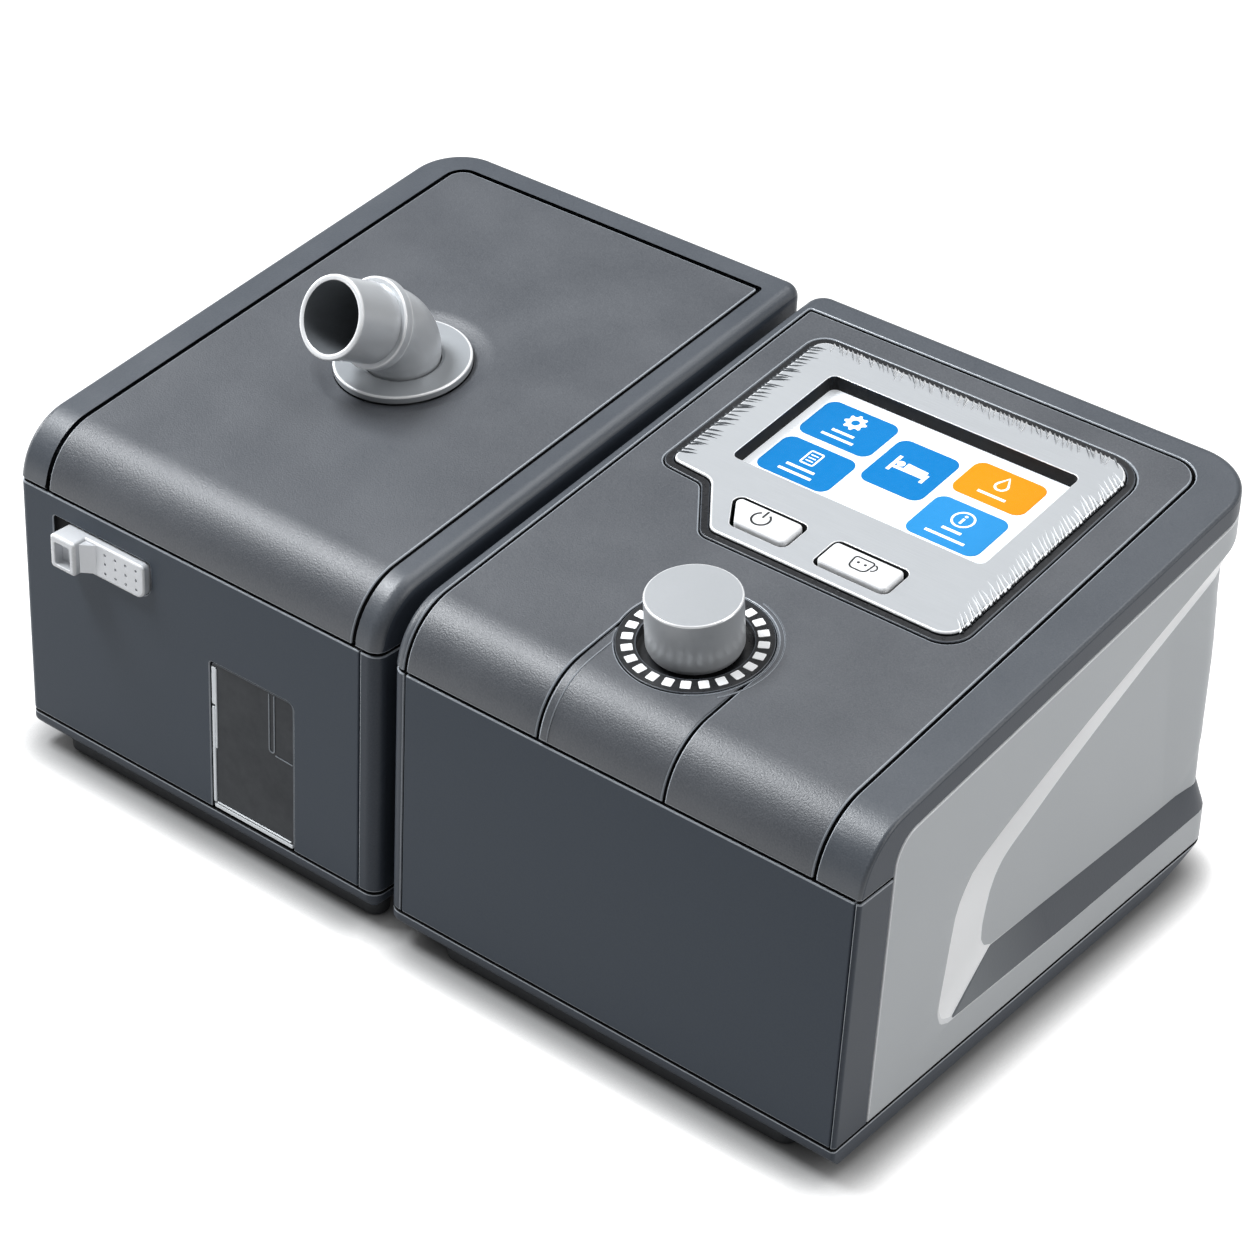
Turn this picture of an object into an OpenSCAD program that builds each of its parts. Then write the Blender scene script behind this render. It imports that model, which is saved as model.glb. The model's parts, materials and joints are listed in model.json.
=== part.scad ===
// Bedside breathing machine in two casings: a main unit with the screen, the dial and
// the blower on the right, and a heated humidifier docked to its left side.
// Lengths are in millimetres. Places are counted from the front left corner at floor
// level: x to the right, y to the back, z up. placed() then moves each piece so that
// the origin is the middle of the footprint, on the floor.

/* [Casings] */
// Width over both casings
total_w = 288; // [284:1:296]
// Width of the humidifier
hum_w = 134.5; // [132:0.5:136]
// Gap between the two casings
dock_gap = 4.5; // [3.5:0.5:5]
// Depth of the casings, front face to rear face
body_d = 182; // [180:1:186]
// Thickness of the moulded walls
wall = 2.5; // [2:0.1:3]
// Thickness of the top shells
top_t = 3; // [2.6:0.1:3.4]
// Width of the seams round the panels set into the tops
panel_gap = 1; // [0.4:0.1:1.2]

/* [Heights] */
// Height of the feet
foot_h = 4.5; // [3.5:0.5:5]
// Top of the base trays
tray_z = 10.6; // [10:0.1:12]
// Width of the seam over the base trays
base_seam = 0.8; // [0.4:0.1:1]
// Middle of the seam between lower casing and top
seam_z = 88.5; // [87:0.1:90]
// Width of the seam
seam_gap = 1; // [0.4:0.1:1.2]
// Height of the sloping top, carried forward to the front face
top_front_z = 104; // [102:0.5:108]
// Slope of the top, in degrees
top_slope = 8.14; // [7:0.1:9]
// Radius where the front rolls over into the top
front_r = 19; // [16:0.5:20]
// Radius of the rear top edge
back_edge_r = 3.5; // [3:0.1:4]

/* [Hose outlet] */
// Place of the outlet on the humidifier's lid
outlet_xy = [65.6, 86]; // [0:0.1:130]
// Outer radius of the hose connector
hose_r = 11; // [10.5:0.1:11.5]
// Inner radius of the hose connector
hose_bore_r = 9.15; // [8.5:0.05:9.5]
// Bend of the elbow, in degrees
elbow_bend = 52; // [45:1:60]
// Turn of the elbow from straight ahead, in degrees
elbow_turn = 6.5; // [-20:0.5:20]
// Radius of the flange round the outlet
flange_r = 19.8; // [18:0.1:21]

/* [Controls] */
// Place of the dial knob on the top
knob_xy = [208.2, 37.2]; // [0:0.1:290]
// Radius of the knob
knob_r = 12.75; // [11:0.25:14]
// Height of the knob above the top
knob_h = 15; // [12:0.5:17]
// Number of marks round the dial
mark_count = 24; // [12:4:30]
// Travel of the two buttons and of the pressed knob
press_travel = 0.8; // [0.5:0.1:1]
// Height of the buttons above the screen surround
button_h = 2.6; // [2:0.1:3]
// Travel of the lid latch
latch_travel = 4; // [3:0.5:4.5]

/* [Hidden] */
$fn = 96;
far = 400;
eps = 0.01;

main_x = hum_w + dock_gap;
shell_z = tray_z + base_seam;
boss_low = tray_z + 0.1;
lower_top = seam_z - seam_gap / 2;
upper_low = seam_z + seam_gap / 2;
fit_gap = 0.3;
latch_proud = 6.75;
hinge_y = body_d + 3;
hinge_z = seam_z - 1.8;
hinge_r = 3;
mid_y = (hinge_y + hinge_r - latch_proud) / 2;

// Corner radii in plan: front left, front right, back right, back left
hum_radii = [2.5, 4, 5, 16.5];
main_radii = [4, 1.2, 14, 6];

// Port that carries the air from the main unit to the humidifier
port_y = 84;
port_z = 64;
port_r = 10.5;
port_bore = 8.5;

// Blower
blower_xy = [212, 112];
blower_r = 38;
blower_z0 = 50;
blower_z1 = 76;

// Screen surround in plan, anticlockwise from its front right corner
bezel_pts = [[260.5, 74.5], [260.5, 160.5], [156, 160.5], [156, 93], [170.5, 92], [183.5, 74.5]];
bezel_radii = [6, 7, 2.5, 3, 5, 4];
screen_pts = [[249, 103.1], [249, 149.8], [167.8, 149.8], [167.8, 103.1]];
power_pts = [[204, 79.8], [204, 92.3], [179.5, 92.3], [186.5, 79.8]];
mode_pts = [[236.5, 79], [236.5, 92], [211.8, 92], [211.8, 79]];
bezel_top = 1;
bezel_t = 2.4;
tray_t = 1.6;
screen_depth = 5.5;
board_h = -12;

// Grip recess in the silver side panel, as [y, z]
grip_outer = [[121, 21.5], [121, 89], [56, 71.4], [45.5, 60], [42.3, 33], [48.2, 23]];
grip_inner = [[121, 24], [121, 73.2], [81.4, 62.3], [70, 56.5], [66.2, 40], [72.1, 25.5]];
grip_rear_outer = [[182.5, 20.3], [182.5, 115.5], [120, 88.8], [120, 21.5]];
grip_rear_inner = [[182.5, 22.5], [182.5, 100.5], [120, 73], [120, 24]];
grip_radii = [0.1, 0.1, 8, 8, 6, 4];
grip_depth = 4;
grip_low = 20.5;
insert_top = 31;
side_t = 6;
side_drop = 7.5;

// Latch on the humidifier's front
latch_plate = [28.3, 50.5, 70.5, 81.2];
latch_boss = [18.8, 28.3, 70.6, 81.2];
latch_pocket = [13.1, 51.2, 70, 81.8];
window = [73, 104.4, 60.3];

// ---- Shapes and places -------------------------------------------------

function top_z(y) = top_front_z + y * tan(top_slope);
function sloped(pts) = [for (p = pts) [p[0], p[1] / cos(top_slope)]];
function unit(v) = v / norm(v);
function before(p, i) = p[(i + len(p) - 1) % len(p)];
function after(p, i) = p[(i + 1) % len(p)];
function normal(a, b) = let (e = unit(b - a)) [e[1], -e[0]];

// The anticlockwise outline p, grown outwards by d
function grown(p, d) = [for (i = [0:len(p) - 1])
    let (n1 = normal(before(p, i), p[i]), n2 = normal(p[i], after(p, i)))
    p[i] + d * (n1 + n2) / (1 + n1 * n2)];

// The outline p with each corner i turned into an arc of radius r[i]
function rounded(p, r, steps = 8) = [for (i = [0:len(p) - 1])
    let (
        u = unit(before(p, i) - p[i]),
        v = unit(after(p, i) - p[i]),
        half = acos(u * v) / 2,
        c = p[i] + unit(u + v) * r[i] / sin(half),
        s = p[i] + u * r[i] / tan(half) - c,
        e = p[i] + v * r[i] / tan(half) - c,
        start = atan2(s[1], s[0]),
        turn = atan2(s[0] * e[1] - s[1] * e[0], s * e)
    )
    for (k = [0:steps]) c + r[i] * [cos(start + turn * k / steps), sin(start + turn * k / steps)]];

function corners(n, r) = [for (i = [1:n]) r];

module placed() translate([-total_w / 2, -mid_y, 0]) children();

// A flat shape in y and z, drawn out from x0 to x1
module along_x(x0, x1) translate([x0, 0, 0]) rotate([90, 0, 90]) linear_extrude(x1 - x0) children();

// A flat shape in x and z, drawn out from y0 to y1
module along_y(y0, y1) translate([0, y1, 0]) rotate([90, 0, 0]) linear_extrude(y1 - y0) children();

// A flat shape in x and y, drawn out from z0 to z1
module along_z(z0, z1) translate([0, 0, z0]) linear_extrude(z1 - z0) children();

module box(lo, hi) translate(lo) cube(hi - lo);

// A frame on the sloping top with its z axis square to the surface
module on_top(xy, h = 0)
    translate([xy[0], xy[1], top_z(xy[1])]) rotate([top_slope, 0, 0]) translate([0, 0, h]) children();

// A plan outline on the sloping top, between heights h0 and h1 over it
module slab_on_top(pts, h0, h1)
    translate([0, 0, top_front_z]) rotate([top_slope, 0, 0]) along_z(h0, h1) polygon(sloped(pts));

module rod_x(x0, x1, y, z, r) translate([x0, y, z]) rotate([0, 90, 0]) cylinder(x1 - x0, r = r);
module rod_y(y0, y1, x, z, r) translate([x, y1, z]) rotate([90, 0, 0]) cylinder(y1 - y0, r = r);
module rod_z(z0, z1, xy, r) translate([xy[0], xy[1], z0]) cylinder(z1 - z0, r = r);

// A rectangle with one true arc at each corner
module round_rect(x0, y0, x1, y1, r) {
    polygon([
        [x0 + r[0], y0], [x1 - r[1], y0], [x1, y0 + r[1]], [x1, y1 - r[2]],
        [x1 - r[2], y1], [x0 + r[3], y1], [x0, y1 - r[3]], [x0, y0 + r[0]]]);
    translate([x0 + r[0], y0 + r[0]]) circle(r[0]);
    translate([x1 - r[1], y0 + r[1]]) circle(r[1]);
    translate([x1 - r[2], y1 - r[2]]) circle(r[2]);
    translate([x0 + r[3], y1 - r[3]]) circle(r[3]);
}

// Plan of a casing, drawn in by inset
module plan(x0, x1, radii, inset)
    round_rect(x0 + inset, inset, x1 - inset, body_d - inset, [for (r = radii) max(r - inset, 0.3)]);

// Side view of a casing, drawn in by inset: rolled front edge, sloping top
module side_profile(inset) {
    rf = front_r - inset;
    rb = max(back_edge_r - inset, 0.5);
    yf = inset + rf;
    yb = body_d - inset - rb;
    zf = top_z(yf) - (inset + rf) / cos(top_slope);
    zb = top_z(yb) - (inset + rb) / cos(top_slope);
    polygon([
        [inset, 0], [body_d - inset, 0], [body_d - inset, zb],
        [yb - rb * sin(top_slope), zb + rb * cos(top_slope)],
        [yf - rf * sin(top_slope), zf + rf * cos(top_slope)], [inset, zf]]);
    translate([yf, zf]) circle(rf);
    translate([yb, zb]) circle(rb);
}

// The whole space of a casing above z_low, drawn in by inset
module casing(x0, x1, radii, inset, z_low) intersection() {
    along_x(x0 - 1, x1 + 1) side_profile(inset);
    along_z(z_low, top_z(body_d) + 10) plan(x0, x1, radii, inset);
}

module hum_casing(inset, z_low) casing(0, hum_w, hum_radii, inset, z_low);
module main_casing(inset, z_low) casing(main_x, total_w, main_radii, inset, z_low);

// A base tray with a drawn-in plinth, open at the top
module base_tray(x0, x1, radii) {
    plinth = 2;
    difference() {
        union() {
            along_z(foot_h, foot_h + plinth + eps) plan(x0, x1, radii, plinth);
            along_z(foot_h + plinth, tray_z) plan(x0, x1, radii, 0);
        }
        along_z(foot_h + wall, tray_z + 1) plan(x0, x1, radii, wall + plinth);
    }
}

// A pair of foot rails with round ends, across the front and the rear
module foot_rails(x0, x1) for (y = [8, body_d - 12]) along_z(0, foot_h) {
    translate([x0 + 4, y - 4]) square([x1 - x0 - 8, 8]);
    for (x = [x0 + 4, x1 - 4]) translate([x, y]) circle(4);
}

screw_head_r = 3;
screw_r = 1.25;
boss_top = 34;
module screw_from_below(xy) {
    rod_z(foot_h, foot_h + 1.6, xy, screw_head_r);
    rod_z(foot_h + 1.5, foot_h + 22, xy, screw_r);
}
module screw_space(xy) {
    rod_z(foot_h - 1, foot_h + 1.7, xy, screw_head_r + 0.3);
    rod_z(foot_h, tray_z + 20, xy, screw_r + 0.2);
}
hum_screw_xy = [[14, 24], [122, 24], [14, 150], [122, 150]];
main_screw_xy = [[151, 24], [272, 24], [151, 160], [262, 156]];

// ---- Main unit: casing --------------------------------------------------

main_front_x = [main_x + 5, total_w - 1.6];

module main_base() placed() color("#3d4148") difference() {
    union() {
        base_tray(main_x, total_w, main_radii);
        for (p = main_screw_xy) rod_z(foot_h + wall - eps, tray_z, p, 5);
        for (p = board_posts) rod_z(foot_h + wall - eps, board_z, p, 3);
        for (a = mount_angles) rod_z(foot_h + wall - eps, blower_z0 - 4, mount_xy(a), 4);
    }
    for (p = main_screw_xy) screw_space(p);
}

module main_front() placed() color("#474c53") along_z(shell_z, lower_top)
    translate([main_front_x[0], 0]) square([main_front_x[1] - main_front_x[0], wall]);

module side_band(inset0, inset1, z0, z1) difference() {
    along_z(z0, z1) plan(main_x, total_w, main_radii, inset0);
    along_z(z0 - 1, z1 + 1) plan(main_x, total_w, main_radii, inset1);
}

side_y = 14.4;
side_x = 266;
filter_hole = [190, 234, 18, 42];
inlet_xz = [164, 32];

module main_housing() placed() color("#3f444b") {
    difference() {
        union() {
            difference() {
                side_band(0, wall, shell_z, lower_top);
                box([main_front_x[0] - 0.2, -1, 0], [main_front_x[1] + 0.2, wall + 0.2, far]);
                box([side_x, side_y - 0.2, 0], [total_w + 1, body_d + 1, far]);
            }
            intersection() {
                side_band(side_t + 0.2, side_t + wall, shell_z, lower_top);
                box([side_x - 8, side_y - wall, 0], [total_w, body_d, far]);
            }
            box([total_w - side_t - wall, side_y - wall, shell_z], [total_w - 0.5, side_y - 0.2, lower_top]);
            box([side_x - 8, body_d - side_t - wall, shell_z], [side_x - 4, body_d - 1, lower_top]);
            for (p = main_screw_xy) rod_z(boss_low, boss_top, p, 4);
            for (p = main_screw_xy) if (p[0] < main_x + 20)
                box([main_x + 1, p[1] - 1.5, shell_z], [p[0], p[1] + 1.5, boss_top]);
            box([main_screw_xy[1][0], main_screw_xy[1][1] - 1.5, shell_z],
                [total_w - side_t - wall, main_screw_xy[1][1] + 1.5, boss_top]);
            box([main_screw_xy[3][0] - 1.5, main_screw_xy[3][1], shell_z],
                [main_screw_xy[3][0] + 1.5, body_d - side_t - wall, boss_top]);
        }
        for (p = main_screw_xy) rod_z(0, boss_top - 4, p, screw_r + 0.05);
        rod_x(main_x - 1, main_x + wall + 1, port_y, port_z, port_r + fit_gap);
        box([filter_hole[0], body_d - wall - 1, filter_hole[2]], [filter_hole[1], body_d + 1, filter_hole[3]]);
        rod_y(body_d - wall - 1, body_d + 1, inlet_xz[0], inlet_xz[1], 6.2);
        box([main_x - 1, dock_y[0], dock_z[0]], [main_x + wall + 1, dock_y[1], dock_z[1]]);
    }
}

rim_left = 4.3;
rim_right = 13.2;
rim_back = 9.8;

// Plan of the sunk panel area on the main unit's top, drawn in by d
module main_panel_plan(d) round_rect(
    main_x + rim_left + d, -front_r, total_w - rim_right - d, body_d - rim_back - d, [1, 1, 9.5 - d, max(1 - d, 0.5)]);

// Silver side panel as [y, z], with d more on every side
function side_outline(d) = rounded([
    [side_y - d, shell_z - d], [body_d + 1, shell_z - d],
    [body_d + 1, top_z(body_d) - side_drop + d], [side_y - d, top_z(side_y) - side_drop + d]],
    [0.5, 0.5, 0.5, 9]);

// The panels rest on a seat that the rims carry under the seams
seat_t = 1.2;
seat_w = 3;

module top_rim() placed() color("#4a4f56") difference() {
    main_casing(0, upper_low);
    main_casing(top_t + seat_t, upper_low - 1);
    difference() {
        main_casing(top_t, upper_low - 1);
        along_z(seam_z - 5, far) difference() {
            main_panel_plan(-seat_w);
            main_panel_plan(seat_w);
        }
    }
    difference() {
        along_z(seam_z - 5, far) main_panel_plan(0);
        main_casing(top_t, upper_low - 1);
    }
    intersection() {
        along_x(side_x, far) polygon(side_outline(0.4));
        along_z(0, far) difference() {
            plan(main_x - 5, total_w + 5, main_radii, -5);
            plan(main_x, total_w, main_radii, side_t + 1);
        }
    }
}

// Plan of the strip that carries the dial, with d more on every side
module strip_plan(d) {
    round_rect(188.6 - d, -front_r, 228 + d, knob_xy[1], [1, 1, 0.5, 0.5]);
    translate(knob_xy) circle(ring_r + 0.2 + d / 2);
}
strip_gap = 0.9;

board_post_xy = [[150.5, 26], [150.5, 164], [268, 26], [268, 160]];

module top_cover() placed() color("#656b73") difference() {
    union() {
        intersection() {
            difference() {
                main_casing(0, upper_low);
                main_casing(top_t, upper_low - 1);
            }
            along_z(seam_z - 5, far) main_panel_plan(panel_gap);
        }
        for (p = board_post_xy) on_top(p, board_h) cylinder(-board_h - top_t + eps, r = 3);
    }
    along_z(seam_z - 5, far) strip_plan(strip_gap);
    slab_on_top(rounded(grown(bezel_pts, 2.8), [8, 9, 4, 5, 4, 5]), -far / 20, far / 20);
    for (p = board_post_xy) on_top(p, board_h - 1) cylinder(7, r = screw_r + 0.05);
}

module knob_strip() placed() color("#5b6169") difference() {
    intersection() {
        difference() {
            main_casing(0, upper_low);
            main_casing(top_t, upper_low - 1);
        }
        along_z(seam_z - 5, far) strip_plan(0);
    }
    on_top(knob_xy, -10) cylinder(20, r = ring_r + 0.1);
}

module side_panel() placed() color("#b3b6b9") difference() {
    intersection() {
        main_casing(0, shell_z);
        along_x(side_x, far) polygon(side_outline(0));
    }
    main_casing(side_t, tray_z - 1);
    grip_space(0);
}

// The recess in the silver side panel, with d more on every side
module grip_space(d) {
    hull() {
        along_x(total_w, total_w + 2) polygon(rounded(grown(grip_outer, d), grip_radii, 5));
        along_x(total_w - grip_depth, total_w) polygon(rounded(grown(grip_inner, d), grip_radii, 5));
    }
    hull() {
        along_x(total_w, total_w + 2) polygon(grown(grip_rear_outer, d));
        along_x(total_w - grip_depth, total_w) polygon(grown(grip_rear_inner, d));
    }
}

module side_insert() placed() color("#4b5058") intersection() {
    along_y(40, body_d) polygon([
        [total_w - grip_depth + 0.05, grip_low], [total_w - 0.4, grip_low],
        [total_w - grip_depth + 0.05, insert_top]]);
    grip_space(-0.1);
    main_casing(0.4, tray_z);
}

// ---- Main unit: screen, buttons and dial --------------------------------

module screen_tray() placed() color("#1e2125") difference() {
    union() {
        difference() {
            slab_on_top(rounded(grown(bezel_pts, 2.6), [8, 9, 4, 5, 4, 5]), -top_t - 1, 0.3);
            slab_on_top(rounded(grown(bezel_pts, 0.3), bezel_radii), bezel_top - bezel_t, far);
        }
        slab_on_top(grown(screen_pts, 1.6), -screen_depth - 0.5, bezel_top - bezel_t);
    }
    slab_on_top(screen_pts, -far, far);
    for (p = [power_pts, mode_pts]) slab_on_top(grown(p, 2.2), -far, far);
}

module screen_bezel() placed() color("#cdd0d3") difference() {
    slab_on_top(rounded(bezel_pts, bezel_radii), bezel_top - bezel_t, bezel_top);
    slab_on_top(rounded(screen_pts, corners(4, 1.5)), -far / 10, far / 10);
    for (p = [power_pts, mode_pts])
        slab_on_top(rounded(grown(p, 0.6), corners(4, 2)), -far / 10, far / 10);
}

module screen_lens() placed() color("#dfe8f0", 0.5)
    slab_on_top(grown(screen_pts, -0.2), -screen_depth, -screen_depth + 1);

module lcd_module() placed() color("#f2f5f8")
    slab_on_top(grown(screen_pts, 3), board_h, -screen_depth - 0.5 - eps);

board_pts = [[272, 22], [272, 167], [147, 167], [147, 22]];

module display_board() placed() color("#1f5e3a") difference() {
    slab_on_top(board_pts, board_h - 1.6, board_h);
    for (p = board_post_xy) on_top(p, board_h - 3) cylinder(5, r = screw_r + 0.1);
}

function button_middle(pts) = [(pts[0][0] + pts[2][0]) / 2 + 1, (pts[0][1] + pts[1][1]) / 2];
stem_r = 2;
stem_low = -9.3;

module button_switches() placed() color("#2b2e33")
    for (p = [power_pts, mode_pts]) difference() {
        on_top(button_middle(p), board_h) translate([-4, -4, 0]) cube([8, 8, 3.5]);
        on_top(button_middle(p), stem_low - 1.5) cylinder(5, r = stem_r + 0.4);
    }

module button(pts) {
    slab_on_top(rounded(pts, corners(4, 1.5)), bezel_top - bezel_t - 1, bezel_top + button_h);
    slab_on_top(grown(pts, 1.4), -2.9, bezel_top - bezel_t - 0.4);
    on_top(button_middle(pts), stem_low) cylinder(-stem_low - 2.5, r = stem_r);
}
module power_button() placed() color("#f4f5f6") button(power_pts);
module mode_button() placed() color("#f4f5f6") button(mode_pts);

ring_r = 20.4;
well_r = 15;
well_floor = -2.2;
mark_r = [15.9, 18.9];
mark_w = 2.7;

module dial_ring() placed() color("#17191c") on_top(knob_xy) difference() {
    translate([0, 0, -top_t - 1]) cylinder(top_t + 1.3, r = ring_r);
    translate([0, 0, well_floor]) cylinder(10, r = well_r);
    translate([0, 0, -10]) cylinder(20, r = 4);
    for (i = [0:mark_count - 1]) rotate(i * 360 / mark_count)
        translate([mark_r[0] - 0.05, -mark_w / 2 - 0.05, -0.3])
            cube([mark_r[1] - mark_r[0] + 0.1, mark_w + 0.1, 2]);
}

module dial_marks() placed() color("#f5f6f7") on_top(knob_xy)
    for (i = [0:mark_count - 1]) rotate(i * 360 / mark_count)
        translate([mark_r[0], -mark_w / 2, -0.3]) cube([mark_r[1] - mark_r[0], mark_w, 0.65]);

knob_low = -0.9;
shaft_r = 3;
shaft_low = -9.6;

module knob() placed() color("#c9ccd0") on_top(knob_xy) difference() {
    rotate_extrude() difference() {
        union() {
            translate([0, knob_low]) square([knob_r, knob_h - knob_low - 0.8]);
            translate([0, knob_low]) square([knob_r - 0.8, knob_h - knob_low]);
            translate([knob_r - 0.8, knob_h - 0.8]) circle(0.8);
        }
        translate([5, knob_low - 1]) square([knob_r - 7, knob_h - 3]);
        translate([-far, -far / 2]) square([far, far]);
    }
    translate([0, 0, knob_low - 1]) cylinder(11, r = shaft_r + 0.02);
}

module knob_shaft() placed() color("#a9adb2") on_top(knob_xy, shaft_low)
    cylinder(9 - shaft_low, r = shaft_r);

module encoder_plunger() placed() color("#d8dadc") on_top(knob_xy, shaft_low - 1)
    cylinder(1 - 0.05, r = shaft_r - 0.2);

module encoder() placed() color("#6f757c") on_top(knob_xy, board_h) difference() {
    translate([-7, -7, 0]) cube([14, 14, -board_h - top_t - 1.1]);
    translate([0, 0, 0.3]) cylinder(20, r = shaft_r + 0.08);
}

// ---- Main unit: air path and electronics --------------------------------

board_z = 18;
board_posts = [[158, 14], [262, 14], [158, 52], [262, 52]];

module main_board() placed() {
    color("#1f5e3a") box([150, 36, board_z], [270, 56, board_z + 1.6]);
    color("#1f5e3a") box([156, 9, board_z], [266, 36 - eps, board_z + 1.6]);
    color("#24272b") for (x = [170, 192, 236]) box([x, 16, board_z + 1.6], [x + 12, 28, board_z + 4]);
    color("#33373d") for (x = [176, 214, 246]) rod_z(board_z + 1.6, board_z + 18, [x, 45], 6);
    color("#e8e8e2") box([206, 12, board_z + 1.6], [228, 18, board_z + 10]);
}

mount_angles = [90, 210, 330];
function mount_xy(a) = blower_xy + (blower_r - 4) * [cos(a), sin(a)];

module blower_mounts() placed() color("#26282c")
    for (a = mount_angles) rod_z(blower_z0 - 4, blower_z0, mount_xy(a), 4);

module blower_volute() placed() color("#d9dbdd") difference() {
    union() {
        rod_z(blower_z0, blower_z1, blower_xy, blower_r);
        rod_x(blower_xy[0] - blower_r - 9, blower_xy[0], port_y, port_z, port_r);
    }
    rod_z(blower_z0 + wall, blower_z1 + 1, blower_xy, blower_r - wall);
    rod_z(blower_z0 - 1, blower_z0 + wall + 1, blower_xy, 15);
    rod_x(blower_xy[0] - blower_r - 10, blower_xy[0], port_y, port_z, port_bore);
}

module blower_lid() placed() color("#d9dbdd") difference() {
    union() {
        rod_z(blower_z1, blower_z1 + 3, blower_xy, blower_r + 1);
        rod_z(blower_z1 - 2, blower_z1 + eps, blower_xy, blower_r - wall - 0.1);
    }
    rod_z(blower_z1 - 3, blower_z1 + 4, blower_xy, 5);
}

motor_z = [blower_z1 + 3, blower_z1 + 19];
bearing_r = 4;
module blower_motor() placed() color("#8d9298") difference() {
    rod_z(motor_z[0], motor_z[1], blower_xy, 18);
    rod_z(motor_z[0] - 1, motor_z[1] + 1, blower_xy, bearing_r + 0.02);
}

spindle_r = 1.5;
module motor_bearings() placed() color("#c3c7cb")
    for (z = [motor_z[0] + 1, motor_z[1] - 4]) difference() {
        rod_z(z, z + 3, blower_xy, bearing_r);
        rod_z(z - 1, z + 4, blower_xy, spindle_r + 0.06);
    }

module motor_shaft() placed() color("#b9bdc1")
    rod_z(blower_z0 + 6, motor_z[1] + 1, blower_xy, spindle_r);

impeller_z = [blower_z0 + 5, blower_z0 + 18];
module impeller() placed() color("#e6e7e8") difference() {
    union() {
        rod_z(impeller_z[1], impeller_z[1] + 1.5, blower_xy, 32);
        rod_z(impeller_z[0], impeller_z[1] + eps, blower_xy, 5);
        translate([blower_xy[0], blower_xy[1], impeller_z[0]])
            for (i = [0:8]) rotate(i * 40) translate([14, 0, 0]) rotate(35)
                translate([0, -0.6, 0]) cube([18, 1.2, impeller_z[1] - impeller_z[0] + eps]);
    }
    rod_z(impeller_z[0] - 1, impeller_z[1] + 3, blower_xy, spindle_r + 0.02);
}

module inlet_muffler() placed() color("#5a5d60") difference() {
    box([184, 100, foot_h + wall + 0.2], [240, body_d - wall - 4, blower_z0 - 8]);
    box([196, 104, 16], [228, body_d, 36]);
    rod_z(30, far, blower_xy, 14);
    rod_z(0, far, mount_xy(90), 6);
}

module air_filter() placed() color("#eceff1")
    box([filter_hole[0] + 0.2, body_d - 6, filter_hole[2] + 0.2],
        [filter_hole[1] - 0.2, body_d - 1, filter_hole[3] - 0.2]);

cover_lip = 3.5;
module filter_cover() placed() color("#474c53") difference() {
    union() {
        box([filter_hole[0] - cover_lip, body_d + 0.3, filter_hole[2] - cover_lip],
            [filter_hole[1] + cover_lip, body_d + 2.8, filter_hole[3] + cover_lip]);
        box([filter_hole[0] + 1, body_d - 0.7, filter_hole[2] + 1],
            [filter_hole[1] - 1, body_d + 0.4, filter_hole[3] - 1]);
    }
    for (i = [0:5]) translate([filter_hole[0] + 4, body_d - 2, filter_hole[2] + 2.6 + i * 3.4])
        cube([filter_hole[1] - filter_hole[0] - 8, 6, 1.6]);
}

module outlet_port() placed() color("#c9ccd0") difference() {
    union() {
        rod_x(main_x - 9, blower_xy[0] - blower_r - 13, port_y, port_z, port_r);
        rod_x(main_x + wall + 0.1, main_x + wall + 2.5, port_y, port_z, port_r + 5);
        rod_x(blower_xy[0] - blower_r - 15, blower_xy[0] - blower_r - 3, port_y, port_z, port_r + 2);
    }
    rod_x(main_x - 10, far, port_y, port_z, port_bore);
    rod_x(blower_xy[0] - blower_r - 9.2, far, port_y, port_z, port_r + 0.05);
}

module coupling_seal() placed() color("#2c2f33") difference() {
    rod_x(hum_w + 0.7, main_x - 0.05, port_y, port_z, port_r + 3.5);
    rod_x(hum_w, main_x + 1, port_y, port_z, port_r + 0.02);
}

module power_inlet() placed() color("#141517") difference() {
    union() {
        rod_y(body_d - 14, body_d + 0.1, inlet_xz[0], inlet_xz[1], 6);
        rod_y(body_d + 0.1 - eps, body_d + 1.6, inlet_xz[0], inlet_xz[1], 8);
    }
    difference() {
        rod_y(body_d - 9, body_d + 2, inlet_xz[0], inlet_xz[1], 3.15);
        rod_y(body_d - 10, body_d - 0.5, inlet_xz[0], inlet_xz[1], 1.2);
    }
}

dock_y = [132, 152];
dock_z = [22, 32];
module dock_socket() placed() color("#1b1d20") difference() {
    box([main_x + 0.5, dock_y[0] + 0.2, dock_z[0] + 0.2], [main_x + 8, dock_y[1] - 0.2, dock_z[1] - 0.2]);
    box([main_x, dock_y[0] + 2, dock_z[0] + 2], [main_x + 6, dock_y[1] - 2, dock_z[1] - 2]);
}

module main_feet() placed() color("#222428") foot_rails(main_x + 16, total_w - 6);

module main_screws() placed() color("#9a9ea3") {
    for (p = main_screw_xy) screw_from_below(p);
    for (p = board_post_xy) on_top(p, board_h - 1.6) {
        translate([0, 0, -1.5]) cylinder(1.5, r = 2.4);
        translate([0, 0, -eps]) cylinder(6, r = screw_r);
    }
}

// ---- Humidifier ----------------------------------------------------------

hum_front_w = 127.8;

module humidifier_base() placed() color("#3d4148") difference() {
    union() {
        base_tray(0, hum_w, hum_radii);
        for (p = hum_screw_xy) rod_z(foot_h + wall - eps, tray_z, p, 5);
    }
    for (p = hum_screw_xy) screw_space(p);
}

stem_x = [24, 32];
stem_z = [74.4, 77.6];

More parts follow.
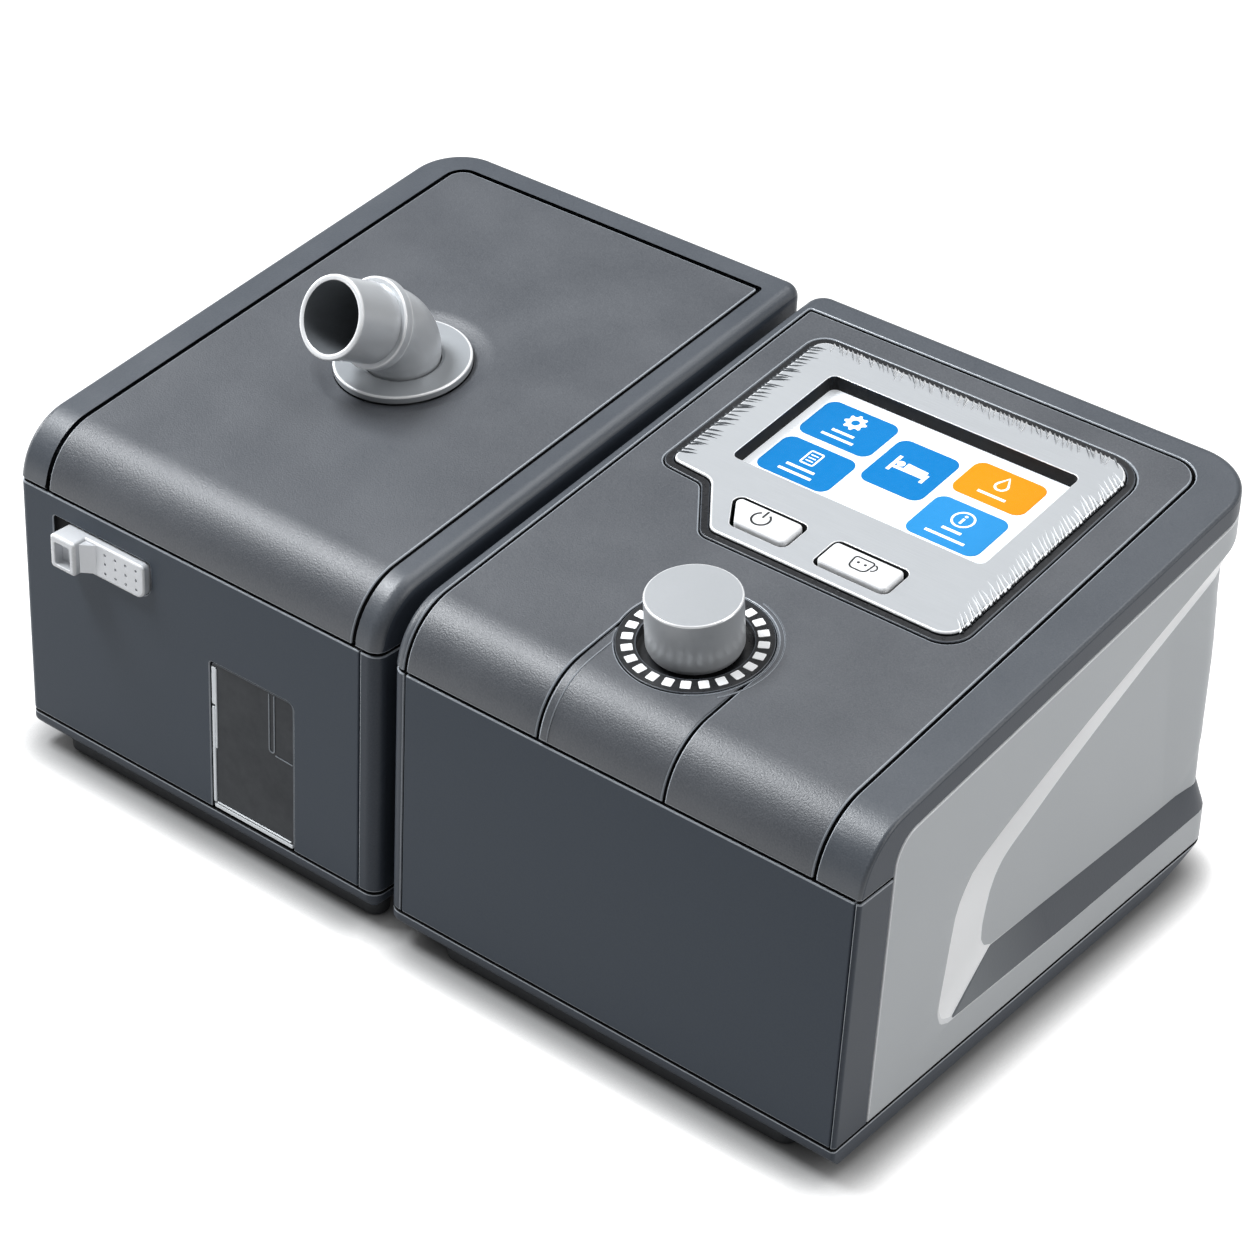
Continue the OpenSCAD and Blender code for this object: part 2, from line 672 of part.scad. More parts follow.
module humidifier_front() placed() color("#474c53") difference() {
    union() {
        intersection() {
            along_z(shell_z, lower_top) plan(0, hum_w, hum_radii, 0);
            box([-1, -1, 0], [hum_front_w, wall, far]);
        }
        box([latch_pocket[0] - 3, wall - eps, latch_pocket[2] - 3], [latch_pocket[1] + 3, wall + 1.6, latch_pocket[3] + 3]);
    }
    along_y(-1, 1.6) round_rect(latch_pocket[0], latch_pocket[2], latch_pocket[1], latch_pocket[3], [2, 5, 1, 1]);
    box([stem_x[0] - latch_travel - 0.6, 0, stem_z[0] - 0.4], [stem_x[1] + 0.5, 10, stem_z[1] + 0.4]);
    along_y(-1, wall + 1) round_rect(window[0], tray_z - 5, window[1], window[2], [1, 1, 2.4, 2.4]);
}

module humidifier_housing() placed() color("#3f444b") difference() {
    union() {
        difference() {
            along_z(shell_z, lower_top) plan(0, hum_w, hum_radii, 0);
            along_z(0, far) plan(0, hum_w, hum_radii, wall);
            box([-1, -1, 0], [hum_front_w + 0.3, wall + 0.2, far]);
        }
        for (p = hum_screw_xy) box([p[0] - 4, p[1] - 3, boss_low], [p[0] + 4, p[1] + 3, 13.8]);
        for (p = hum_screw_xy) box([p[0] < 60 ? wall - eps : p[0], p[1] - 3, shell_z],
            [p[0] < 60 ? p[0] : hum_w - wall + eps, p[1] + 3, 13.8]);
        for (x = hinge_outer) hinge_ear(x, x + 7);
    }
    for (p = hum_screw_xy) rod_z(0, far, p, screw_r + 0.05);
    rod_x(hum_w - wall - 1, hum_w + 1, port_y, port_z, port_r + 2.9);
    box([hum_w - wall - 1, dock_y[0] + 1, dock_z[0] + 1], [hum_w + 1, dock_y[1] - 1, dock_z[1] - 1]);
    for (x = hinge_outer) rod_x(x - 1, x + 8, hinge_y, hinge_z, hinge_pin_r + 0.02);
}

hinge_pin_r = 1.25;
hinge_outer = [18, 40, 84, 106];
hinge_inner = [25.4, 91.4];

// One ear of the hinge on the housing's rear wall
module hinge_ear(x0, x1) along_x(x0, x1) {
    polygon([[body_d - 1, hinge_z - 14], [body_d - 1, hinge_z - 3.5], [hinge_y - 2, hinge_z - 1],
        [hinge_y, hinge_z], [hinge_y + hinge_r - 0.2, hinge_z - 1]]);
    translate([hinge_y, hinge_z]) circle(hinge_r);
}

// One ear of the hinge on the lid's rear wall
module lid_ear(x0, x1) along_x(x0, x1) {
    polygon([[body_d - 1, upper_low + 1], [hinge_y - 2.6, hinge_z + 0.8], [hinge_y, hinge_z],
        [hinge_y + hinge_r - 0.2, hinge_z + 1], [body_d + 1, upper_low + 9], [body_d - 1, upper_low + 9]]);
    translate([hinge_y, hinge_z]) circle(hinge_r);
}

module hinge_pins() placed() color("#9a9ea3")
    for (x = [hinge_outer[0], hinge_outer[2]]) rod_x(x, x + 29, hinge_y, hinge_z, hinge_pin_r);

module water_window() placed() color("#8fa0ac", 0.4) {
    difference() {
        along_y(-0.2, wall)
            round_rect(window[0] + 0.3, shell_z + 0.1, window[1] - 0.3, window[2] - 0.3, [1, 1, 2, 2]);
        along_y(-1, 0.4)
            round_rect(window[0] + 2.2, shell_z + 2, window[1] - 1.8, window[2] - 1.6, [1, 1, 1.4, 1.4]);
    }
    box([94.7, wall - eps, 40], [97.2, wall + 1, window[2] - 2]);
    box([97.2 - eps, wall - eps, 39.2], [window[1] - 2, wall + 1, 40.4]);
}

tub_x = [7, 127];
tub_y = [12, 172];
tub_z = [15, 84];
tub_r = 14;
tub_t = 1.8;
plate_r = 40;

module tub_plan(d) round_rect(tub_x[0] + d, tub_y[0] + d, tub_x[1] - d, tub_y[1] - d, corners(4, tub_r - d));

module water_tub() placed() color("#b9cbd6", 0.4) difference() {
    along_z(tub_z[0], tub_z[1]) tub_plan(0);
    along_z(tub_z[0] + tub_t, tub_z[1] + 1) tub_plan(tub_t);
    rod_z(0, tub_z[0] + 5, plate_xy, plate_r + 0.05);
    rod_x(tub_x[1] - tub_r, tub_x[1] + 1, port_y, port_z, port_r + 2.9);
}

plate_xy = [67, 92];
module tub_heat_plate() placed() color("#b7bbbf") rod_z(tub_z[0], tub_z[0] + 1.2, plate_xy, plate_r);
module heater_plate() placed() color("#9ea3a8") rod_z(12.2, tub_z[0] - 0.05, plate_xy, plate_r + 2);
module heater_insulator() placed() color("#d9d4c8") difference() {
    rod_z(foot_h + wall + 0.05, tub_z[0] - 0.5, plate_xy, plate_r + 5);
    rod_z(12.1, far, plate_xy, plate_r + 2.1);
}

module air_inlet_port() placed() color("#c9ccd0") difference() {
    union() {
        rod_x(tub_x[1] - tub_t - 1, hum_w - 0.2, port_y, port_z, port_r + 2.7);
        rod_x(tub_x[1] + 0.2, hum_w - wall - 0.2, port_y, port_z, port_r + 6);
    }
    rod_x(0, far, port_y, port_z, port_r + 0.7);
}

module dock_plug() placed() color("#1b1d20") {
    box([hum_w - wall - 5, dock_y[0] + 1.5, dock_z[0] + 1.5], [hum_w + 1, dock_y[1] - 1.5, dock_z[1] - 1.5]);
    box([hum_w + 1 - eps, dock_y[0] + 2.6, dock_z[0] + 2.6], [main_x + 4, dock_y[1] - 2.6, dock_z[1] - 2.6]);
}

module humidifier_feet() placed() color("#222428") foot_rails(10, hum_w - 3);

module humidifier_screws() placed() color("#9a9ea3") for (p = hum_screw_xy) {
    rod_z(foot_h, foot_h + 1.6, p, screw_head_r);
    rod_z(foot_h + 1.5, 13.4, p, screw_r);
}

pawl_y = [4.8, 8.6];
module latch() placed() color("#c8cbce") {
    difference() {
        union() {
            along_y(-2, 1.3) round_rect(latch_plate[0] - 1, latch_plate[2], latch_plate[1], latch_plate[3],
                [0.5, 3, 1, 0.5]);
            along_y(-latch_proud, 1.3) round_rect(latch_boss[0], latch_boss[2], latch_boss[1], latch_boss[3],
                corners(4, 0.8));
        }
        box([20.6, -latch_proud - 1, 72.1], [26.4, -latch_proud + 3, 79]);
        for (i = [0:4], k = [0:2]) rod_y(-3, -1.6, 31.5 + 4 * i, 72.8 + 3 * k, 0.45);
    }
    box([stem_x[0], 1.2, stem_z[0]], [stem_x[1], pawl_y[0] + eps, stem_z[1]]);
    box([stem_x[0], pawl_y[0], stem_z[0] - 2], [38.4, pawl_y[1], stem_z[1]]);
}

// A flat spring under the pawl, fixed to the frame behind the pocket
module latch_spring() placed() color("#b8bcc0")
    box([22, wall + 1.65, stem_z[0] - 3.6], [36, wall + 4.7, stem_z[0] - 2.2]);

// ---- Humidifier lid --------------------------------------------------------

lid_left = 11;
lid_right = 8.4;
lid_back = 9.8;

module lid_panel_plan(d) round_rect(lid_left + d, -front_r, hum_w - lid_right - d, body_d - lid_back - d,
    [1, 1, max(1 - d, 0.5), 6 - d]);

module lid_rim() placed() color("#4a4f56") difference() {
    union() {
        difference() {
            hum_casing(0, upper_low);
            hum_casing(top_t + seat_t, upper_low - 1);
            difference() {
                hum_casing(top_t, upper_low - 1);
                along_z(seam_z - 5, far) difference() {
                    lid_panel_plan(-seat_w);
                    lid_panel_plan(seat_w);
                }
            }
            difference() {
                along_z(seam_z - 5, far) lid_panel_plan(0);
                hum_casing(top_t, upper_low - 1);
            }
        }
        for (x = hinge_inner) lid_ear(x, x + 14.2);
    }
    for (x = hinge_inner) rod_x(x - 1, x + 16, hinge_y, hinge_z, hinge_pin_r + 0.08);
}

dimple_r = 24;
dimple_depth = 0.8;
dimple_ball = (dimple_r * dimple_r + dimple_depth * dimple_depth) / (2 * dimple_depth);
sleeve_r = 13;
sleeve_low = -15;
flange_low = -0.8;
flange_top = 1.2;

module lid_panel() placed() color("#656b73") difference() {
    intersection() {
        difference() {
            hum_casing(0, upper_low);
            hum_casing(top_t, upper_low - 1);
        }
        along_z(seam_z - 5, far) lid_panel_plan(panel_gap);
    }
    on_top(outlet_xy, dimple_ball - dimple_depth) sphere(dimple_ball, $fn = 400);
    on_top(outlet_xy, -20) cylinder(40, r = sleeve_r + 0.1);
    on_top(outlet_xy, flange_low - 0.02) cylinder(5, r = flange_r + 0.15);
}

liner_z = [89.2, 91.2];
hook_x = [39, 47];
module lid_liner() placed() color("#d5dade") {
    difference() {
        union() {
            along_z(liner_z[0], liner_z[1]) tub_plan(-0.5);
            intersection() {
                on_top(outlet_xy, -40) cylinder(40 + sleeve_low + 5, r = sleeve_r + 1.8);
                along_z(liner_z[0], far) square(far);
            }
            intersection() {
                for (p = [[22, 30], [112, 30], [22, 150], [112, 150]]) rod_z(liner_z[0], far, p, 3);
                hum_casing(top_t, liner_z[0]);
            }
        }
        on_top(outlet_xy, sleeve_low - 0.2) cylinder(30, r = sleeve_r + 0.1);
        on_top(outlet_xy, -60) cylinder(60, r = hose_r);
    }
    box([hook_x[0], pawl_y[0] + 1, liner_z[1] - eps], [hook_x[1], 24, liner_z[1] + 1.8]);
    difference() {
        box([hook_x[0], pawl_y[0] + 1, stem_z[0] - 4], [hook_x[1], pawl_y[0] + 3.4, liner_z[1] + eps]);
        box([hook_x[0] - 1, 0, stem_z[0] - 2.4], [hook_x[0] + 3, 20, stem_z[1] + 0.4]);
    }
}

module lid_gasket() placed() color("#8b9096") difference() {
    along_z(tub_z[1] + 0.4, liner_z[0]) tub_plan(-0.5);
    along_z(tub_z[1] - 1, liner_z[0] + 1) tub_plan(4);
}

module outlet_flange() placed() color("#d3d6d9") on_top(outlet_xy) difference() {
    union() {
        translate([0, 0, flange_low]) cylinder(flange_top - flange_low, r = flange_r);
        translate([0, 0, sleeve_low]) cylinder(-sleeve_low, r = sleeve_r);
    }
    translate([0, 0, sleeve_low - 1]) cylinder(30, r = spigot_r + 0.45);
}

// ---- Hose elbow -----------------------------------------------------------

spigot_r = 10.6;
elbow_low = 1.5;
bend_r = 14;
bend_start = 11.2 - bend_r * tan(elbow_bend / 2);
tube_len = 26.3 - bend_r * tan(elbow_bend / 2);
collar_at = 7.9 - bend_r * tan(elbow_bend / 2);
collar_t = 2.7;
collar_r = 12.5;
into_bend = 1;
bend_fuller = 0.3;

// Moves to the end of the bend, with z along the slanted tube
module bend_end() translate([0, 0, bend_start]) translate([bend_r, 0, 0]) rotate([0, elbow_bend, 0])
    translate([-bend_r, 0, 0]) children();

module bend(r) translate([bend_r, 0, bend_start]) rotate([90, 0, 0]) rotate(180 - elbow_bend)
    rotate_extrude(angle = elbow_bend) translate([bend_r, 0]) circle(r);

// The tubes run a little way into the bend, which is slightly fuller than they are
module outlet_elbow() placed() color("#c9ccd0") on_top(outlet_xy) rotate(-90 - elbow_turn) difference() {
    union() {
        translate([0, 0, -12]) cylinder(12 + elbow_low + 0.5, r = spigot_r);
        translate([0, 0, elbow_low]) cylinder(bend_start - elbow_low + into_bend, r = hose_r);
        bend(hose_r + bend_fuller);
        bend_end() translate([0, 0, -into_bend]) cylinder(tube_len + into_bend, r = hose_r);
        bend_end() translate([0, 0, collar_at]) cylinder(collar_t, r = collar_r);
    }
    translate([0, 0, -13]) cylinder(13 + bend_start + into_bend / 2, r = hose_bore_r);
    bend(hose_bore_r - 0.15);
    bend_end() translate([0, 0, -into_bend / 2]) cylinder(tube_len + 2, r = hose_bore_r);
}

// ---- Assembly --------------------------------------------------------------

main_base();
main_front();
main_housing();
top_rim();
top_cover();
knob_strip();
side_panel();
side_insert();
screen_tray();
screen_bezel();
screen_lens();
lcd_module();
display_board();
button_switches();
encoder();
dial_ring();
dial_marks();
main_board();
blower_volute();
blower_lid();
blower_motor();
motor_bearings();
blower_mounts();
inlet_muffler();
air_filter();
outlet_port();
coupling_seal();
power_inlet();
dock_socket();
main_feet();
main_screws();
filter_cover();
power_button();
mode_button();
encoder_plunger();
knob();
knob_shaft();
impeller();
motor_shaft();
humidifier_base();
humidifier_front();
humidifier_housing();
water_window();
water_tub();
tub_heat_plate();
heater_plate();
heater_insulator();
air_inlet_port();
dock_plug();
hinge_pins();
humidifier_feet();
humidifier_screws();
latch();
latch_spring();
lid_rim();
lid_panel();
lid_liner();
lid_gasket();
outlet_flange();
outlet_elbow();
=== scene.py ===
"""The looks of a bedside breathing machine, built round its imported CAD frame.

Shapes are worked out in millimetres, counted from the casing's front left corner at
floor level: x to the right, y to the back, z up. Each piece is then moved into the
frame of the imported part, in metres. The front and the sloping top are one bent
surface, and a place on it is given as (x, s, h): s runs up the front, over the roll
and along the top, and h stands square to the surface.
"""

import json
import math
import random

import bmesh
import bpy
from mathutils import Matrix, Vector


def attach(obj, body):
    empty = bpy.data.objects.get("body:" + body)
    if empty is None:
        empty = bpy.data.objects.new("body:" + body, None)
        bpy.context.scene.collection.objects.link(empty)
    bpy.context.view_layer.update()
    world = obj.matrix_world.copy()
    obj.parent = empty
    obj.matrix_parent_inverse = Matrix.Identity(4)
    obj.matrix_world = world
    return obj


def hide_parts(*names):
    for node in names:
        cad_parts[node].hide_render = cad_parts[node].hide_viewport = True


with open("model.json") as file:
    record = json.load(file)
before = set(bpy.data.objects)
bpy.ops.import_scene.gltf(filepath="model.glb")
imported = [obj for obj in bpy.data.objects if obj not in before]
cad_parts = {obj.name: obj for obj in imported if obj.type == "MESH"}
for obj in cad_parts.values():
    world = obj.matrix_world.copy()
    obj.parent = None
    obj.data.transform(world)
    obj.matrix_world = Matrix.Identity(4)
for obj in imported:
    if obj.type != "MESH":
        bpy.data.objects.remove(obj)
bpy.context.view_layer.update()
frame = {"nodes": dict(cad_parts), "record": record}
random.seed(7)

# ---- Sizes, in millimetres ----

TOTAL_W = 288.0
MID_Y = 90.625
HUM_W = 134.5
MAIN_X = 139.0
DEPTH = 182.0
SLOPE = math.radians(8.14)
TOP_FRONT_Z = 104.0
ROLL_R = 19.0
ROLL_Z = TOP_FRONT_Z + ROLL_R * math.tan(SLOPE) - ROLL_R / math.cos(SLOPE)
ROLL_LENGTH = ROLL_R * (math.pi / 2 - SLOPE)
ROLL_END_Y = ROLL_R - ROLL_R * math.sin(SLOPE)
ROLL_STEPS = 26
TOP_T = 3.0
SEAT_DEPTH = 3.05
SEAT_W = 3.0
WALL = 2.5
SHELL_LOW = 11.4
LOWER_TOP = 88.0
UPPER_LOW = 89.0
TRAY_TOP = 10.6
FOOT_H = 4.5
EDGE = 0.42

LID_LEFT, LID_RIGHT, LID_BACK = 11.0, 8.4, 9.8
RIM_LEFT, RIM_RIGHT, RIM_BACK = 4.3, 13.2, 9.8
PANEL_GAP = 1.0
OUTLET = (65.6, 86.0)
KNOB = (208.2, 37.2)
RING_R = 20.4
MARK_COUNT = 24
BEZEL = [(260.5, 74.5), (260.5, 160.5), (156, 160.5), (156, 93), (170.5, 92), (183.5, 74.5)]
BEZEL_RADII = [6, 9.5, 4, 3, 5, 4]
SURROUND_RADII = [8, 12, 6, 5, 4, 5]
SCREEN = [(249.8, 103), (249.8, 148.8), (168.6, 148.8), (168.6, 103)]
POWER = [(203.6, 79.7), (203.6, 89.0), (181.3, 89.0), (187.4, 79.7)]
POWER_HOLE = [(204.5, 78.8), (204.5, 90.6), (179.1, 90.6), (186.6, 78.8)]
MODE = [(236.2, 79.2), (236.2, 88.6), (214.3, 88.6), (214.3, 79.2)]
MODE_HOLE = [(237.1, 78.3), (237.1, 90.3), (213.2, 90.3), (213.2, 78.3)]
BEZEL_LOW, BEZEL_TOP = -1.4, 1.0
BUTTON_TOP = 2.1
SIDE_Y = 14.4
SIDE_DROP = 7.5
SIDE_END_X = 266.0
SIDE_OUTLINE_STEPS = 12
BELOW_SEAM = -8
PORT = (84, 64)
WINDOW = (73.0, 104.4, 60.3)
HUM_FRONT_END = 127.8
MAIN_FRONT = (MAIN_X + 5, TOTAL_W - 1.6)
STRIP_X = (188.6, 228.0)
STRIP_GAP = 0.9
CORNER_START = 150
CORNER_STEP = 1.5
CORNER_STEPS = 36

# Places in a piece's list of materials: face, rounded edge (in most sets a paler copy, a painted highlight),
# dark wall of a seam, side wall (painted highlight in the grip recess, painted shade on the rims' sides)
FACE, RIM, DARK, LIT = 0, 1, 2, 3


# ---- Places ----


def top_z(y):
    return TOP_FRONT_Z + y * math.tan(SLOPE)


def top_s(y):
    """How far along the bent surface the top's plan distance y lies."""
    return ROLL_LENGTH + (y - ROLL_END_Y) / math.cos(SLOPE)


def front_s(z):
    """How far along the bent surface the front's height z lies."""
    if z <= ROLL_Z:
        return z - ROLL_Z
    return ROLL_R * math.asin((z - ROLL_Z) / ROLL_R)


def on_casing(x, s, h):
    if s <= 0:
        return Vector((x, -h, ROLL_Z + s))
    angle = min(s / ROLL_R, math.pi / 2 - SLOPE)
    y = ROLL_R - (ROLL_R + h) * math.cos(angle)
    z = ROLL_Z + (ROLL_R + h) * math.sin(angle)
    beyond = max(s - ROLL_LENGTH, 0)
    return Vector((x, y + beyond * math.cos(SLOPE), z + beyond * math.sin(SLOPE)))


def on_front(x, z, h):
    return Vector((x, -h, z))


def on_rear(x, z, h):
    return Vector((x, DEPTH + h, z))


def rear_corner_r(z):
    """Plan radius of the main unit's rear right corner, which widens upwards."""
    return 8 + 12 * (z - 11) / 114


def on_side(u, z, h):
    """A place on the right side, bent round the rear right corner."""
    radius = rear_corner_r(z)
    straight = DEPTH - radius
    if u <= straight:
        return Vector((TOTAL_W + h, u, z))
    angle = min((u - straight) / radius, math.pi / 2)
    beyond = max(u - straight - radius * math.pi / 2, 0)
    x = TOTAL_W - radius + (radius + h) * math.cos(angle) - beyond
    return Vector((x, straight + (radius + h) * math.sin(angle), z))


def side_end(z):
    """Where on_side reaches the end of the silver panel on the rear."""
    radius = rear_corner_r(z)
    return DEPTH - radius + radius * math.pi / 2 + TOTAL_W - radius - SIDE_END_X


def top_frame(xy, h=0):
    """A frame on the sloping top with its z axis square to the surface."""
    place = Matrix.Translation((xy[0], xy[1], top_z(xy[1])))
    return place @ Matrix.Rotation(SLOPE, 4, "X") @ Matrix.Translation((0, 0, h))


# ---- Outlines ----


def area_of(points):
    """Area inside the outline, below zero where it runs clockwise."""
    return sum(a[0] * b[1] - b[0] * a[1] for a, b in zip(points, points[1:] + points[:1])) / 2


def turned(points):
    """The outline, made anticlockwise."""
    return list(points) if area_of(points) > 0 else list(points)[::-1]


def grown(points, d):
    """The anticlockwise outline, grown outwards by d."""
    out = []
    count = len(points)
    for i in range(count):
        here = Vector(points[i])
        ahead = (Vector(points[(i + 1) % count]) - here).normalized()
        behind = (here - Vector(points[i - 1])).normalized()
        n1 = Vector((behind.y, -behind.x))
        n2 = Vector((ahead.y, -ahead.x))
        out.append(tuple(here + (n1 + n2) * (d / max(1 + n1.dot(n2), 0.3))))
    return out


def rounded(points, radii, steps=8):
    """The outline with each corner turned into an arc."""
    out = []
    for i, point in enumerate(points):
        here = Vector(point)
        u = (Vector(points[i - 1]) - here).normalized()
        v = (Vector(points[(i + 1) % len(points)]) - here).normalized()
        half = u.angle(v) / 2
        radius = radii[i]
        middle = here + (u + v).normalized() * (radius / math.sin(half))
        start = here + u * (radius / math.tan(half)) - middle
        end = here + v * (radius / math.tan(half)) - middle
        first = math.atan2(start.y, start.x)
        turn = math.atan2(start.x * end.y - start.y * end.x, start.dot(end))
        for k in range(steps + 1):
            angle = first + turn * k / steps
            out.append((middle.x + radius * math.cos(angle), middle.y + radius * math.sin(angle)))
    return out


def rectangle(x0, y0, x1, y1, radii, steps=8):
    """A rounded rectangle; radii start at the lower left corner and go anticlockwise."""
    return rounded([(x0, y0), (x1, y0), (x1, y1), (x0, y1)], radii, steps)


def circle(x, y, radius, steps=64):
    turns = [2 * math.pi * k / steps for k in range(steps)]
    return [(x + radius * math.cos(a), y + radius * math.sin(a)) for a in turns]


def arc(x, y, radius, start, end, steps):
    out = []
    for k in range(steps + 1):
        angle = math.radians(start + (end - start) * k / steps)
        out.append((x + radius * math.cos(angle), y + radius * math.sin(angle)))
    return out


def to_surface(points):
    """A plan outline on the top, as places on the bent surface."""
    return [(x, top_s(y)) for x, y in points]


# ---- Building meshes ----


def bevelled(low, high, edge=EDGE, steps=3, support=0.35):
    """Border of a slab: (drawn in, height, finish), from its underside to its face."""
    out = [(0, low, DARK), (0, high - edge, DARK)]
    for k in range(1, steps + 1):
        angle = math.pi / 2 * k / steps
        out.append((edge * (1 - math.cos(angle)), high - edge * (1 - math.sin(angle)), RIM))
    if support:
        out.append((edge + support, high, FACE))
    return out


def pocket(depth, edge=EDGE):
    """Border of a cutting tool whose pocket has a rounded upper edge."""
    out = [(0, -depth, DARK), (0, -edge, DARK)]
    for k in (1, 2, 3):
        angle = math.radians(25 * k)
        out.append((-edge * (1 - math.cos(angle)), -edge * (1 - math.sin(angle)), RIM))
    flare = edge * (1 - math.cos(math.radians(75))) + 1.45
    out.append((-flare, 0.35, RIM))
    out.append((-flare, 6, DARK))
    return out


def straight_cut(low, high):
    return [(0, low, DARK), (0, high, DARK)]


def edges_of(bm, ring):
    """The edges of a closed ring of points."""
    return [bm.edges.get(pair) for pair in zip(ring, ring[1:] + ring[:1])]


def slab(bm, outline, border, holes=(), place=None):
    """Adds a closed slab. Each hole is (outline, border, blind)."""
    start = len(bm.verts)
    low_edges = []
    high_edges = []

    def wall(points, profile, side, blind):
        rings = []
        for inward, height, _ in profile:
            rings.append([bm.verts.new((*p, height)) for p in grown(points, side * inward)])
        for below, above, (_, _, finish) in zip(rings, rings[1:], profile[1:]):
            for corners in zip(below, below[1:] + below[:1], above[1:] + above[:1], above):
                bm.faces.new(corners).material_index = finish
        if blind:
            bm.faces.new(rings[0]).material_index = profile[0][2]
        else:
            low_edges.extend(edges_of(bm, rings[0]))
        high_edges.extend(edges_of(bm, rings[-1]))

    wall(turned(outline), border, -1, False)
    for points, profile, blind in holes:
        wall(turned(points), profile, 1, blind)
    for edges, finish in ((low_edges, DARK), (high_edges, FACE)):
        filled = bmesh.ops.triangle_fill(bm, use_beauty=True, edges=edges, normal=(0, 0, 1))
        for face in filled["geom"]:
            if isinstance(face, bmesh.types.BMFace):
                face.material_index = finish
    bm.verts.ensure_lookup_table()
    if place is not None:
        lay(bm.verts[start:], place)


def plate(outline, border, holes=(), place=None):
    """A new mesh that holds one slab."""
    bm = bmesh.new()
    slab(bm, outline, border, holes, place)
    return bm


def lay(verts, place):
    """Moves flat points to where place puts them."""
    for v in verts:
        v.co = place(v.co.x, v.co.y, v.co.z)


def slice_at(bm, spot, normal):
    """Adds edges where a plane meets the mesh."""
    geometry = bm.verts[:] + bm.edges[:] + bm.faces[:]
    bmesh.ops.bisect_plane(bm, geom=geometry, dist=1e-5, plane_co=spot, plane_no=normal)


def bend_over_roll(bm):
    """Cuts the flat shape at the roll's steps and lays it on the casing."""
    low = min(v.co.y for v in bm.verts)
    high = max(v.co.y for v in bm.verts)
    for k in range(ROLL_STEPS + 1):
        s = ROLL_LENGTH * k / ROLL_STEPS
        if low < s < high:
            slice_at(bm, (0, s, 0), (0, 1, 0))
    lay(bm.verts, on_casing)


def bend_round_corner(bm):
    """Cuts the flat shape at steps round the rear right corner and lays it on the side."""
    for k in range(CORNER_STEPS):
        slice_at(bm, (CORNER_START + CORNER_STEP * k, 0, 0), (1, 0, 0))
    for z in range(20, 130, 10):
        slice_at(bm, (0, z, 0), (0, 1, 0))
    lay(bm.verts, on_side)


def hull(points, finish=None):
    """A closed convex solid round the points. finish gives each face its material."""
    bm = bmesh.new()
    for p in points:
        bm.verts.new(p)
    made = bmesh.ops.convex_hull(bm, input=bm.verts, use_existing_faces=False)
    loose = [v for v in made["geom_interior"] if isinstance(v, bmesh.types.BMVert)]
    bmesh.ops.delete(bm, geom=loose, context="VERTS")
    bmesh.ops.dissolve_limit(bm, angle_limit=math.radians(0.25), verts=bm.verts, edges=bm.edges)
    bmesh.ops.recalc_face_normals(bm, faces=bm.faces)
    if finish:
        for face in bm.faces:
            face.material_index = finish(face)
    return bm


def band_finish(low, high):
    """Finish of a shell: dark on its level ends, with a painted highlight on the rounded edges next to them.
    """

    def pick(face):
        heights = [v.co.z for v in face.verts]
        if abs(face.normal.z) > 0.99 and (max(heights) < low + 0.01 or min(heights) > high - 0.01):
            return DARK
        if max(heights) < low + EDGE + 0.01 or min(heights) > high - EDGE - 0.01:
            return RIM
        # Side faces take the side-wall finish, which on the rims is painted shade.
        return LIT if abs(face.normal.x) > 0.9 else FACE

    return pick


def object_from(name, bm, materials):
    bmesh.ops.recalc_face_normals(bm, faces=bm.faces)
    mesh = bpy.data.meshes.new(name)
    bm.to_mesh(mesh)
    bm.free()
    for material in materials:
        mesh.materials.append(material)
    obj = bpy.data.objects.new(name, mesh)
    bpy.context.scene.collection.objects.link(obj)
    return obj


def cut(obj, *tools):
    """Takes the tools' shapes out of obj for good."""
    helpers = []
    for index, bm in enumerate(tools):
        helper = object_from(obj.name + "_tool%d" % index, bm, [])
        for material in obj.data.materials:
            helper.data.materials.append(material)
        modifier = obj.modifiers.new("cut", "BOOLEAN")
        modifier.operation = "DIFFERENCE"
        modifier.solver = "EXACT"
        modifier.object = helper
        helpers.append(helper)
    bpy.context.view_layer.update()
    shown = obj.evaluated_get(bpy.context.evaluated_depsgraph_get())
    mesh = bpy.data.meshes.new_from_object(shown)
    obj.modifiers.clear()
    old = obj.data
    obj.data = mesh
    mesh.name = obj.name
    bpy.data.meshes.remove(old)
    for helper in helpers:
        bpy.data.meshes.remove(helper.data)
    return obj


def finish_piece(obj, body, nodes=(), sharp=35):
    """Moves a piece into the part's frame and ties it to its CAD body."""
    to_part = Matrix.Scale(0.001, 4) @ Matrix.Translation((-TOTAL_W / 2, -MID_Y, 0))
    obj.data.transform(to_part)
    obj.data.shade_smooth()
    obj.data.set_sharp_from_angle(angle=math.radians(sharp))
    weighted = obj.modifiers.new("weighted", "WEIGHTED_NORMAL")
    weighted.keep_sharp = True
    weighted.weight = 80
    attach(obj, body)
    if nodes:
        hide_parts(*nodes)
    return obj


def piece(name, bm, materials, body, nodes=(), sharp=35):
    """A finished piece made of the mesh bm."""
    return finish_piece(object_from(name, bm, materials), body, nodes, sharp)


